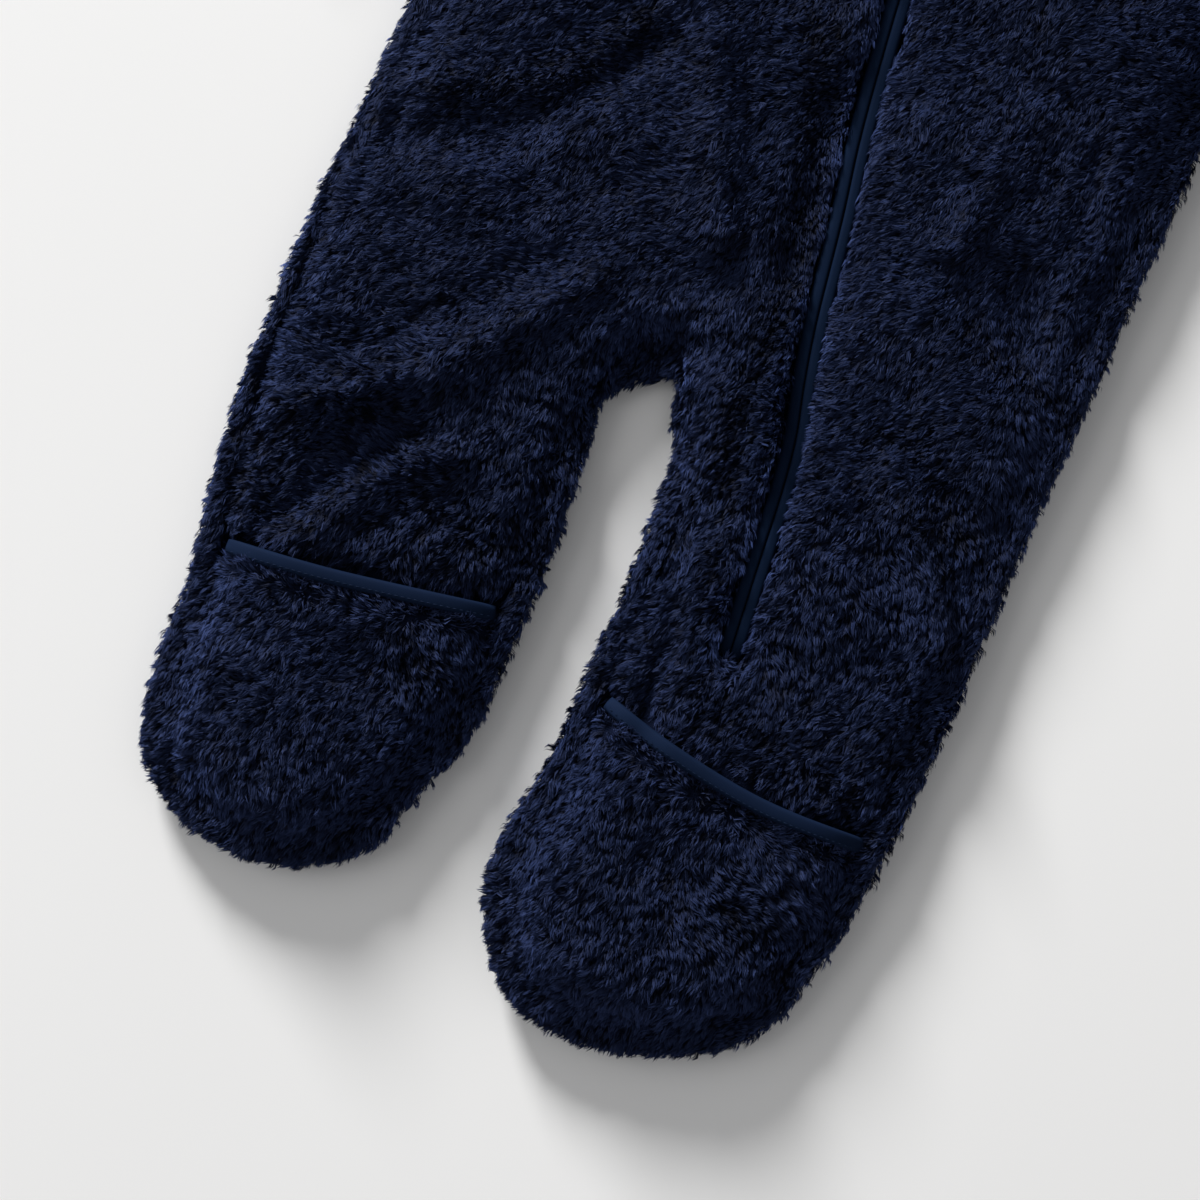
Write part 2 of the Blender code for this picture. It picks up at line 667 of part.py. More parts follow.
def cover_underside(points, foot, top):
    """Inner face of a foot cover: over the leg's end, and down to the back beyond it."""
    rim = foot_rim(foot)
    over_leg = distance_to(points, rim) > TONGUE_INSET - FRONT_INSET - 4.0
    drop = fall(points, rim, COVER_TOP - SEAM_HEIGHT, COVER_ROLL)
    lowest = COVER_TOP - drop - COVER_WALL + np.minimum(folds_at(points), 0)
    beside = BACK_WALL + SEAM_GAP + np.clip(lowest - BACK_WALL - SEAM_GAP, 0, LAYER_GAP)
    return np.where(over_leg, np.maximum(lowest, BACK_WALL + SEAM_GAP), beside)


# ---------------------------------------------------------------- zip
def build_zip_tapes():
    """The two sides of the zip, coil to fleece, with the coils meeting in the middle."""
    centre = zip_centre()
    for side, sign in (("right", -1), ("left", 1)):
        path = offset(centre, sign * (ZIP_SPLIT + ZIP_TAPE_WIDTH / 2))
        path[0, 1] = FRONT_NECK[3][1] + BINDING_WIDTH
        path = shortened(path[::-1], ZIP_END_GAP)
        strip("zip_tape_" + side, path, ZIP_TAPE_WIDTH, ZIP_TAPE_DEPTH,
              [ZIP_TAPE_TOP] * len(path), TAPE, bevel=0.5)


def slider_frame():
    """The slider's middle in the plan and the angle that turns +y up the zip."""
    top, following = np.array(ZIP_LINE[0]), np.array(ZIP_LINE[1])
    up = (top - following) / np.linalg.norm(top - following)
    return top - up * SLIDER_FROM_NECK, math.atan2(-up[0], up[1])


def block(name, size, centre):
    """A plain box, for joining with others."""
    corners = [(centre[0] + sx * size[0] / 2, centre[1] + sy * size[1] / 2,
                centre[2] + sz * size[2] / 2)
               for sz in (-1, 1) for sy in (-1, 1) for sx in (-1, 1)]
    faces = [[0, 2, 3, 1], [4, 5, 7, 6], [0, 1, 5, 4], [2, 6, 7, 3], [0, 4, 6, 2], [1, 3, 7, 5]]
    return make_object(name, corners, faces, METAL, 0.45, 0.6)


def join_shape(thing, other, operation):
    """Adds or cuts another shape, which is left as a guide that isn't part of the garment."""
    step = thing.modifiers.new(other.name, "BOOLEAN")
    step.operation = operation
    step.object = other
    other.hide_render = True
    other.display_type = "WIRE"
    other.parent = thing


def build_slider(floor):
    """Slider body with the lug that carries the pull tab. Gives the height of its axis."""
    place, angle = slider_frame()
    body = block("zip_slider", (SLIDER_WIDTH, SLIDER_LENGTH, SLIDER_DEPTH),
                 (0, 0, floor + SLIDER_DEPTH / 2))
    bevel = body.modifiers.new("round corners", "BEVEL")
    bevel.width = 0.8 * MM
    bevel.segments = 2
    hole_long, hole_high = LUG_HOLE
    lug_high = hole_high + LUG_WALL
    base = floor + SLIDER_DEPTH
    lug = block("lug_guide", (LUG_WIDTH, hole_long + 2 * LUG_WALL, lug_high + 1.0),
                (0, 0, base + lug_high / 2 - 0.5))
    hole = block("lug_hole_guide", (2 * SLIDER_WIDTH, hole_long, hole_high),
                 (0, 0, base + hole_high / 2))
    join_shape(body, lug, "UNION")
    join_shape(body, hole, "DIFFERENCE")
    body.location = (place[0] * MM, place[1] * MM, 0)
    body.rotation_euler = (0, 0, angle)
    return base + hole_high / 2


def build_pull(axis_height):
    """Pull tab lying down the zip; its origin is on the axis that it swings about."""
    place, angle = slider_frame()
    half = PULL_WIDTH / 2
    slot = PULL_SLOT_WIDTH / 2
    waist = half - 1.2
    outer = [(-half, PULL_BAR), (-half, -PULL_NECK), (-waist, -PULL_NECK - 2.2),
             (-waist, 8 - PULL_LENGTH), (-half + 0.4, 5 - PULL_LENGTH)]
    for turn in np.linspace(math.pi, 2 * math.pi, 7)[1:-1]:
        outer.append(((half - 0.4) * math.cos(turn),
                      half - PULL_LENGTH + half * math.sin(turn)))
    outer += [(half - 0.4, 5 - PULL_LENGTH), (waist, 8 - PULL_LENGTH),
              (waist, -PULL_NECK - 2.2), (half, -PULL_NECK), (half, PULL_BAR)]
    count = len(outer)
    plate = [(x, y, z) for z in (-PULL_DEPTH / 2, PULL_DEPTH / 2) for x, y in outer]
    faces = [list(reversed(range(count))), [count + k for k in range(count)]]
    faces += [[k, (k + 1) % count, count + (k + 1) % count, count + k] for k in range(count)]
    pull = make_object("zip_pull", plate, faces, METAL, 0.4, 0.6)
    window = block("pull_slot_guide", (2 * slot, PULL_NECK - PULL_BAR, 4 * PULL_DEPTH),
                   (0, -(PULL_NECK + PULL_BAR) / 2, 0))
    join_shape(pull, window, "DIFFERENCE")
    pull.location = (place[0] * MM, place[1] * MM, axis_height * MM)
    pull.rotation_euler = (0, 0, angle)


# ---------------------------------------------------------------- sleeves and neck
def tube_section(width, height):
    """Outline of a flattened tube: distance across from its lower edge, height."""
    near = [(inset, part * height) for inset, part in TUBE_EDGE]
    far = [(width - inset, z) for inset, z in near]
    middle_top = [(width * part, height) for part in TUBE_TOP]
    return near + middle_top + far[::-1] + [(width / 2, 0.0)]


def flat_tube(name, rows, colour, folded=False):
    """A sleeve or cuff pressed flat: an outer skin, a slit inside, open at both ends."""
    outer, inner = [], []
    for low_x, low_y, high_x, high_y, height in rows:
        low, high = np.array((low_x, low_y)), np.array((high_x, high_y))
        width = np.linalg.norm(high - low)
        across = (high - low) / width
        section = tube_section(width, height)
        plan = np.array([low + across * reach for reach, _ in section])
        lift = folds_at(plan) if folded else np.zeros(len(plan))
        middle = (low + high) / 2
        shrink = 1 - 2 * SLIT_MARGIN / width
        for (x, y), (_, z), fold in zip(plan, section, lift):
            weight = np.clip((z - 0.9 * height) / (0.1 * height), 0, 1)
            outer.append((x, y, z + fold * weight))
            inner.append((middle[0] + (x - middle[0]) * shrink,
                          middle[1] + (y - middle[1]) * shrink,
                          SLEEVE_MIDDLE + (z - height / 2) * SLIT_FLATNESS))
    around = len(section)
    shift = len(outer)
    faces = []
    for ring in range(len(rows) - 1):
        for k in range(around):
            after = (k + 1) % around
            a, b = ring * around, (ring + 1) * around
            faces.append([a + k, a + after, b + after, b + k])
            faces.append([shift + a + k, shift + b + k, shift + b + after, shift + a + after])
    for ring in (0, len(rows) - 1):
        for k in range(around):
            after = (k + 1) % around
            a = ring * around
            faces.append([a + k, a + after, shift + a + after, shift + a + k])
    return make_object(name, outer + inner, faces, colour)


def build_sleeve(side):
    """A sleeve and the binding round its cuff."""
    sign = 1 if side == "left" else -1
    knots = np.array(SLEEVE_ROWS, float)
    plan = smooth_curve(knots, 1.0)
    picks = np.linspace(0, len(plan) - 1, SLEEVE_SECTIONS).round().astype(int)
    rows = plan[picks]
    if sign < 0:
        rows = rows * (-1, 1, -1, 1, 1)
    flat_tube("sleeve_" + side, rows, FLEECE, folded=True)

    low, high = rows[-1, 0:2], rows[-1, 2:4]
    across = (high - low) / np.linalg.norm(high - low)
    outward = np.array((across[1], -across[0])) * sign
    low, high = low + across * CUFF_MARGIN, high - across * CUFF_MARGIN
    cuff = []
    for reach in (SEAM_GAP, SEAM_GAP + BINDING_WIDTH):
        cuff.append((*(low + outward * reach), *(high + outward * reach), CUFF_HEIGHT))
    flat_tube("cuff_binding_" + side, cuff, BINDING)


def build_neck():
    """The neck binding, cut where it crosses the shoulder seams and the zip."""
    reach = 1.5 * SEAM_GAP + BINDING_WIDTH / 2
    back = offset(smooth_curve(BACK_NECK, TRIM_STEP), reach)
    strip("neck_binding_back", back[1:-1], BINDING_WIDTH, BACK_WALL - 1.0,
          [BACK_WALL] * (len(back) - 2), BINDING)
    for side in ("right", "left"):
        edge = np.vstack([neck_corner(side), neck_part(side)])
        path = shortened(offset(edge, reach if side == "left" else -reach)[:-1], ZIP_END_GAP)
        strip("neck_binding_" + side, path, BINDING_WIDTH, NECK_BINDING_DEPTH,
              [NECK_BINDING_TOP] * len(path), BINDING)


# ---------------------------------------------------------------- the whole garment
def stand_on_origin():
    """Moves the garment so that its origin is the middle of its box, on the surface."""
    bpy.context.view_layer.update()
    meshes = [o for o in bpy.data.objects if o.type == "MESH" and not o.hide_render]
    corners = np.array([tuple(o.matrix_world @ v.co) for o in meshes for v in o.data.vertices])
    middle = (corners.min(axis=0) + corners.max(axis=0)) / 2
    root = bpy.data.objects.new("garment", None)
    bpy.context.scene.collection.objects.link(root)
    root.location = (-middle[0], -middle[1], 0)
    for thing in list(bpy.data.objects):
        if thing.parent is None and thing is not root:
            thing.parent = root


def main():
    for thing in list(bpy.data.objects):
        bpy.data.objects.remove(thing, do_unlink=True)
    build_back()
    build_fronts()
    for side in ("right", "left"):
        build_foot(side)
        build_sleeve(side)
    build_neck()
    build_zip_tapes()
    axis_height = build_slider(ZIP_TAPE_TOP + SEAM_GAP)
    build_pull(axis_height)
    stand_on_origin()


main()
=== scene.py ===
# %% [markdown]
# # A baby's deep-pile fleece overall, laid flat
#
# The overall is a one-piece suit of curly "teddy" fleece. It lies on its back, with the zip
# slanting down to the wearer's left leg and a bound cover turned over the end of each leg.
# The construction model gives each sewn piece as a solid that reaches to the tips of the
# pile. This notebook takes each solid apart again into what it really is: a knitted ground
# cloth, and the thousands of small locks of fibre that stand on it. All sizes are in metres.
#
# The first cell loads the construction model, with helpers that read its boxes. Everything
# that follows is placed by that model, so nothing has to be fitted afterwards.

# %% The construction model
import math

import bmesh
import bpy
import numpy as np
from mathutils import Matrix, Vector
from mathutils.bvhtree import BVHTree
from mathutils.kdtree import KDTree


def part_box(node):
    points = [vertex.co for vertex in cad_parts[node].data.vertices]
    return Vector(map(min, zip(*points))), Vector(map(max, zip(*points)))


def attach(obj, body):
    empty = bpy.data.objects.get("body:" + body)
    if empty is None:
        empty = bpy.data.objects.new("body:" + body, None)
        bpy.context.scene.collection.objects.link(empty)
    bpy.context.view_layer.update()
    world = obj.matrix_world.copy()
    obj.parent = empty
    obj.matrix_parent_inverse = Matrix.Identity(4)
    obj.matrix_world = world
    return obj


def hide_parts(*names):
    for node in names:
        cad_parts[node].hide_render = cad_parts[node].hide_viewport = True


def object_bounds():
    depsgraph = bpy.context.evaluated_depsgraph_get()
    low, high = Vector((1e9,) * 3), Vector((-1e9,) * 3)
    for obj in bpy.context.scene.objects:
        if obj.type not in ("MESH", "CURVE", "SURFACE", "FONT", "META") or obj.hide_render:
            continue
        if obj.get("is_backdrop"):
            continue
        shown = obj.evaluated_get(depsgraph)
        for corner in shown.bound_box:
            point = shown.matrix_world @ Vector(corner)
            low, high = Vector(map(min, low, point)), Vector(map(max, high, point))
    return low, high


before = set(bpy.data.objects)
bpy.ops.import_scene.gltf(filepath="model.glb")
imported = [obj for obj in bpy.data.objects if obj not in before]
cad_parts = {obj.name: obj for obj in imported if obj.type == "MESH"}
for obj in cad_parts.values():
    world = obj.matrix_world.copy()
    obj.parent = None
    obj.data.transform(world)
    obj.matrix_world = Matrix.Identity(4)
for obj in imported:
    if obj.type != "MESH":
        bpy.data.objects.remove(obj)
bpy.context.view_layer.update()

MM = 0.001

# %% [markdown]
# ## Camera
#
# The camera looks straight down on the hips, legs and feet. The garment lies turned, with
# its legs towards the lower left, so the camera is turned about its own line of sight. A
# long lens far away keeps the thick feet from looking larger than the flat hips.

# %% Camera
VIEW_MIDDLE = (0.0113, -0.1456)
VIEW_WIDTH = 0.480
VIEW_TURN = math.radians(24.5)
LENS, FILM = 85.0, 36.0
EYE_HEIGHT = 0.020 + VIEW_WIDTH * LENS / FILM

bpy.ops.object.camera_add(location=(*VIEW_MIDDLE, EYE_HEIGHT), rotation=(0, 0, VIEW_TURN))
camera = bpy.context.object
camera.data.lens = LENS
camera.data.sensor_width = FILM
bpy.context.scene.camera = camera
print("camera is", round(EYE_HEIGHT, 3), "m up")

# %% [markdown]
# ## Light and floor
#
# Daylight comes from a low window beyond the top left of the picture, so the shadows fall
# below the feet and are long for so thin a thing. The white room gives a soft light from
# all round, and a white wall on the left a little more. The window is several metres
# off, so the floor is about as bright everywhere. Colours are shown as they are, with no
# film curve.

# %% Light and floor
# Each row: direction towards the light, distance, width and power.
LIGHTS = {
    "window": ((-2.22, 2.28, 1.0), 9.0, 2.4, 1600.0),
    "white wall": ((-0.97, -0.16, 0.72), 6.0, 5.0, 85.0),
}
ROOM_STRENGTH = 0.31

for name, (direction, distance, width, power) in LIGHTS.items():
    direction = Vector(direction).normalized()
    place = Vector((*VIEW_MIDDLE, 0)) + direction * distance
    bpy.ops.object.light_add(type="AREA", location=place,
                             rotation=direction.to_track_quat("Z", "Y").to_euler())
    lamp = bpy.context.object
    lamp.name = name
    lamp.data.shape = "DISK"
    lamp.data.size = width
    lamp.data.energy = power
    lamp.data.color = (1.0, 0.995, 0.985)
    print(name, [round(v, 2) for v in place], "m")
bpy.context.scene.view_settings.view_transform = "Standard"

world = bpy.data.worlds.new("white room")
world.use_nodes = True
world.node_tree.nodes["Background"].inputs["Color"].default_value = (0.99, 0.99, 1.0, 1.0)
world.node_tree.nodes["Background"].inputs["Strength"].default_value = ROOM_STRENGTH
bpy.context.scene.world = world

bpy.ops.mesh.primitive_plane_add(size=6.0)
floor = bpy.context.object
floor.name = "floor"
floor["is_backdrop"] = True

# %% [markdown]
# ## A way to write shader maths
#
# Each material is a small node tree. `Shade` makes the nodes: one call takes a node's type,
# its settings and its inputs. `Field` wraps an output that is a plain number, so that maths
# on it reads like maths: `0.6 + fibres * 0.7` adds the Math nodes by itself.

# %% Shader helpers
class Field:
    """A number that varies over a surface. Operators add Math nodes to its tree."""

    def __init__(self, shade, socket):
        self.shade = shade
        self.socket = socket

    def maths(self, operation, *values):
        node = self.shade.add("ShaderNodeMath", {"operation": operation}, values)
        return Field(self.shade, node.outputs[0])

    def __add__(self, other):
        return self.maths("ADD", self, other)

    def __mul__(self, other):
        return self.maths("MULTIPLY", self, other)

    def __pow__(self, other):
        return self.maths("POWER", self, other)

    __radd__ = __add__
    __rmul__ = __mul__

    def sine(self):
        return self.maths("SINE", self)

    def limited(self):
        return self.maths("MINIMUM", self.maths("MAXIMUM", self, 0.0), 1.0)


class Shade:
    """A material and its node tree."""

    def __init__(self, name, **constants):
        self.material = bpy.data.materials.new(name)
        self.material.use_nodes = True
        self.tree = self.material.node_tree
        self.surface = self.tree.nodes["Principled BSDF"]
        for socket, value in constants.items():
            self.surface.inputs[socket.replace("_", " ")].default_value = value

    def connect(self, value, socket):
        if isinstance(value, Field):
            value = value.socket
        if isinstance(value, bpy.types.NodeSocket):
            self.tree.links.new(value, socket)
        else:
            socket.default_value = value

    def add(self, kind, settings=None, inputs=()):
        """A node of that kind. Inputs are a list in order, or a dict by name."""
        node = self.tree.nodes.new(kind)
        for setting, value in (settings or {}).items():
            setattr(node, setting, value)
        named = inputs.items() if isinstance(inputs, dict) else enumerate(inputs)
        for socket, value in named:
            self.connect(value, node.inputs[socket])
        return node

    def parts(self, colour):
        """The red, green and blue parts of a colour or vector, as fields."""
        node = self.add("ShaderNodeSeparateXYZ", inputs=(colour,))
        return [Field(self, output) for output in node.outputs]

    def vector(self, x, y):
        return self.add("ShaderNodeCombineXYZ", inputs=(x, y)).outputs[0]

    def place(self):
        return self.add("ShaderNodeTexCoord").outputs["Object"]

    def noise(self, scale, detail=2.0, where=None):
        where = self.place() if where is None else where
        inputs = {"Vector": where, "Scale": scale, "Detail": detail}
        return Field(self, self.add("ShaderNodeTexNoise", inputs=inputs).outputs["Fac"])

    def mix(self, factor, first, second):
        """First colour where the factor is 0, second where it is 1."""
        node = self.add("ShaderNodeMix", {"data_type": "RGBA"})
        self.connect(factor, node.inputs["Factor"])
        for colour, socket in ((first, node.inputs[6]), (second, node.inputs[7])):
            self.connect((*colour, 1.0) if isinstance(colour, tuple) else colour, socket)
        return node.outputs[2]

    def lit(self, colour, factor):
        """A colour made lighter or darker by a field."""
        node = self.add("ShaderNodeVectorMath", {"operation": "SCALE"}, {0: colour})
        self.connect(factor, node.inputs["Scale"])
        return node.outputs[0]

    def finish(self, colour, roughness=None, height=None, depth=0.0):
        """Wires up the surface. `depth` is how far a height of 1 stands out, in metres."""
        self.connect(colour, self.surface.inputs["Base Color"])
        if roughness is not None:
            self.connect(roughness, self.surface.inputs["Roughness"])
        if height is not None:
            bump = self.add("ShaderNodeBump", inputs={"Distance": depth, "Height": height})
            self.connect(bump.outputs[0], self.surface.inputs["Normal"])
        return self.material


# %% Floor finish
paint = Shade("pale floor", Roughness=0.75)
floor.data.materials.append(paint.finish(
    paint.mix(paint.noise(3.0), (0.80, 0.80, 0.80), (0.83, 0.83, 0.83))))

# %% [markdown]
# ## Finishes of the cloth
#
# The pile is polyester dyed navy. Each strand is painted nearly black at its root, as painted
# shade from its neighbours, and lighter and a little bluer towards the tip, as painted light
# coming through it. The mesh of the strands carries that as an attribute: how far up the pile
# a point is, with more painted shade, how bright its strand is, with painted light along the
# edges, how far across it is, and a random number for the wisp it belongs to.

# %% Pile finish
# Painted shade: the colour a strand is painted at its root, where its neighbours shade it.
PILE_SHADED_ROOT = (0.0019, 0.0023, 0.0050)
PILE_TIP = (0.0117, 0.0188, 0.0540)


def pile_finish():
    shade = Shade("navy pile", Roughness=0.6, Specular_IOR_Level=0.04)
    marks = shade.add("ShaderNodeAttribute", {"attribute_name": "pile"})
    up, strand, across = shade.parts(marks.outputs["Color"])
    wisp = Field(shade, marks.outputs["Alpha"])
    fibre_place = shade.vector(across * 2.0 + strand * 60.0, up * 1.5 + wisp * 30.0)
    fibres = shade.noise(2.2, 1.0, fibre_place)
    patches = shade.noise(28.0)
    # Painted shade and light: root colour where `up` is low, tip colour where it is high.
    colour = shade.mix((up ** 1.7).limited(), PILE_SHADED_ROOT, PILE_TIP)
    # Brightness: random tone of fibres, strands and patches, with painted light along the
    # edges.
    strength = (0.6 + fibres * 0.7) * (0.5 + strand * 0.7 + wisp * 0.2) * (0.8 + patches * 0.4)
    return shade.finish(shade.lit(colour, strength), height=fibres, depth=0.1 * MM)


PILE_FINISH = pile_finish()

# %% [markdown]
# Under the pile is a knitted ground, seen only where the pile parts and from inside the
# neck. Fine ribs from the knitting run along it, with painted shade between its stitches.

# %% Finishes of ground and trims
GROUND_COLOUR = (0.0036, 0.0058, 0.0170)
BINDING_COLOUR = (0.0050, 0.0115, 0.0325)
TAPE_COLOUR = (0.0042, 0.0112, 0.0320)


def knit(shade, pitch):
    """Height of a fine knit: rows of small rounded stitches."""
    x, y, _ = shade.parts(shade.place())
    wales = (x * (2 * math.pi / pitch)).sine()
    rows = (y * (2 * math.pi / pitch) + wales * 0.8).sine()
    return wales * 0.25 + rows * 0.25 + 0.5


def ground_finish():
    shade = Shade("knitted ground", Roughness=0.9, Specular_IOR_Level=0.02)
    stitches = knit(shade, 0.9 * MM)
    # Painted shade: the ground is painted darker between its stitches.
    colour = shade.mix(stitches, tuple(0.7 * c for c in GROUND_COLOUR), GROUND_COLOUR)
    return shade.finish(colour, height=stitches, depth=0.12 * MM)


def strip_finish(name, colour, worn, pitch, patches, painted_gap_shade, painted_stitch_light, roughness):
    """A fine knit or weave: darker in worn patches, and with painted shade between its
    stitches.
    """
    shade = Shade(name, Roughness=roughness, Specular_IOR_Level=0.03)
    stitches = knit(shade, pitch)
    dyed = shade.mix(shade.noise(patches, 3.0), tuple(worn * c for c in colour), colour)
    # Painted shade between the stitches, and painted light on their tops.
    return shade.finish(shade.lit(dyed, painted_gap_shade + stitches * painted_stitch_light), height=stitches,
                        depth=0.05 * MM)


def grained_finish(name, dark, light, grain, depth, rough=None, **constants):
    """A fine grain, of a scale and detail, takes this finish from dark to light."""
    shade = Shade(name, **constants)
    grains = shade.noise(*grain)
    roughness = None if rough is None else rough + grains * 0.2
    return shade.finish(shade.mix(grains, dark, light), roughness, grains, depth)


GROUND_FINISH = ground_finish()
BINDING_FINISH = strip_finish("smooth navy binding", BINDING_COLOUR, 0.78, 0.55 * MM, 90.0,
                              0.85, 0.25, 0.75)
TAPE_FINISH = strip_finish("woven zip tape", TAPE_COLOUR, 0.75, 0.42 * MM, 60.0,
                           0.8, 0.35, 0.7)
LACQUER = grained_finish("navy lacquer on metal", (0.010, 0.014, 0.026),
                         (0.017, 0.022, 0.040), (420.0, 3.0), 0.02 * MM, 0.28,
                         Metallic=0.35, Coat_Weight=0.5)
COIL_FINISH = grained_finish("polyester coil", (0.0012, 0.0020, 0.0050),
                             (0.0020, 0.0032, 0.0080), (300.0, 2.0), 0.01 * MM, 0.45,
                             Specular_IOR_Level=0.1)
THREAD = grained_finish("navy thread", (0.0036, 0.0084, 0.0240), (0.0056, 0.0128, 0.0340),
                        (900.0, 1.0), 0.03 * MM, Roughness=0.6, Specular_IOR_Level=0.05)
print(len(bpy.data.materials), "materials")

# %% [markdown]
# ## Reading the solids
#
# Each solid is read into arrays once. Its copy is merged first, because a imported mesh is
# loose triangles, and split until no edge is long, so that creases can bend it. A point's
# normal is the mean of the faces round it.

# %% Reading the solids
FLEECE = ("back", "front_right", "front_left", "foot_cover_right", "foot_cover_left",
          "sleeve_right", "sleeve_left")
LONGEST_EDGE = 10.0 * MM
MERGE = 0.002 * MM
MOST_HALVINGS = 8
ON_FLOOR = 0.5 * MM     # edges lower than this lie flat and aren't split
ABOVE, DOWN = 0.1, Vector((0, 0, -1))   # rays look down on the overall from here


def merged(name):
    """A merged copy of a solid, as a bmesh."""
    body = bmesh.new()
    body.from_mesh(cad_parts[name].data)
    bmesh.ops.remove_doubles(body, verts=body.verts, dist=MERGE)
    return body


def split(body, longest):
    """Cuts edges in half until none above the floor is longer than asked."""
    for _ in range(MOST_HALVINGS):
        long = [e for e in body.edges if e.calc_length() > longest
                and max(v.co.z for v in e.verts) > ON_FLOOR]
        if not long:
            break
        bmesh.ops.subdivide_edges(body, edges=long, cuts=1)
        bmesh.ops.triangulate(body, faces=[f for f in body.faces if len(f.verts) > 3])


def arrays(body):
    """Points, normals and triangles of a bmesh."""
    body.normal_update()
    body.verts.index_update()
    points = np.array([v.co for v in body.verts])
    normals = np.array([v.normal for v in body.verts])
    faces = np.array([[v.index for v in f.verts] for f in body.faces])
    return points, normals, faces


SOLIDS = {}
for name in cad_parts:
    body = merged(name)
    SOLIDS[name] = BVHTree.FromBMesh(body)
    body.free()


def covered(point, normal, reach):
    """Whether something lies within `reach` in front of a point of a surface."""
    start = Vector(point) + Vector(normal) * 0.05 * MM
    return any(tree.ray_cast(start, Vector(normal), reach)[0] is not None
               for tree in SOLIDS.values())


print(len(SOLIDS), "solids read")

# %% [markdown]
# The pile hides most seams: over them the fleece looks like one rounded form. That form is
# a height map of the whole overall, seen from above and blurred by a few millimetres. Near a
# hidden seam the pile is later raised to it and lit by it.

# %% Soft form of the whole overall
GRID = 2.0 * MM
BLUR = 3                # grid steps
LOWEST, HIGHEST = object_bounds()
GRID_SIZE = (int((HIGHEST.x - LOWEST.x) / GRID) + 3, int((HIGHEST.y - LOWEST.y) / GRID) + 3)


def top_height(x, y):
    """Height of the highest fleece solid at a place, or nan where there is none."""
    hits = [SOLIDS[name].ray_cast(Vector((x, y, ABOVE)), DOWN)[0] for name in FLEECE]
    return max((hit.z for hit in hits if hit), default=math.nan)


def blurred(field, steps):
    """A field smoothed by running means, three times each way."""
    kernel = np.ones(2 * steps + 1) / (2 * steps + 1)
    for _ in range(3):
        for axis in (0, 1):
            field = np.apply_along_axis(np.convolve, axis, field, kernel, "same")
    return field


heights = np.array([[top_height(LOWEST.x + i * GRID, LOWEST.y + j * GRID)
                     for j in range(GRID_SIZE[1])] for i in range(GRID_SIZE[0])])
known = np.isfinite(heights).astype(float)
SOFT_HEIGHT = blurred(np.nan_to_num(heights), BLUR) / np.maximum(blurred(known, BLUR), 1e-3)
SLOPE_X, SLOPE_Y = np.gradient(SOFT_HEIGHT, GRID)


def sampled(field, points):
    """A gridded field read at points, straight between grid places."""
    at = (points[:, :2] - (LOWEST.x, LOWEST.y)) / GRID
    cell = np.clip(np.floor(at).astype(int), 0, np.array(GRID_SIZE) - 2)
    tx, ty = np.clip(at - cell, 0, 1).T
    i, j = cell.T
    return ((field[i, j] * (1 - tx) + field[i + 1, j] * tx) * (1 - ty)
            + (field[i, j + 1] * (1 - tx) + field[i + 1, j + 1] * tx) * ty)


print("soft form:", GRID_SIZE, "heights, up to", round(float(SOFT_HEIGHT.max()), 4), "m")

# %% [markdown]
# ## Creases
#
# The solids have the largest folds. These are deepened here, and cloth that has been worn
# has smaller ones too: short drags that fan out from the crotch, dips beside the zip, and
# dents round the knees and ankles. They are soft troughs and ridges, each with its own
# place, size and depth, and no two are alike. Two slow uneven waves of about a millimetre
# keep the rest from looking pressed.

# %% Creases
CROTCH = np.array((0.003, -0.0483))
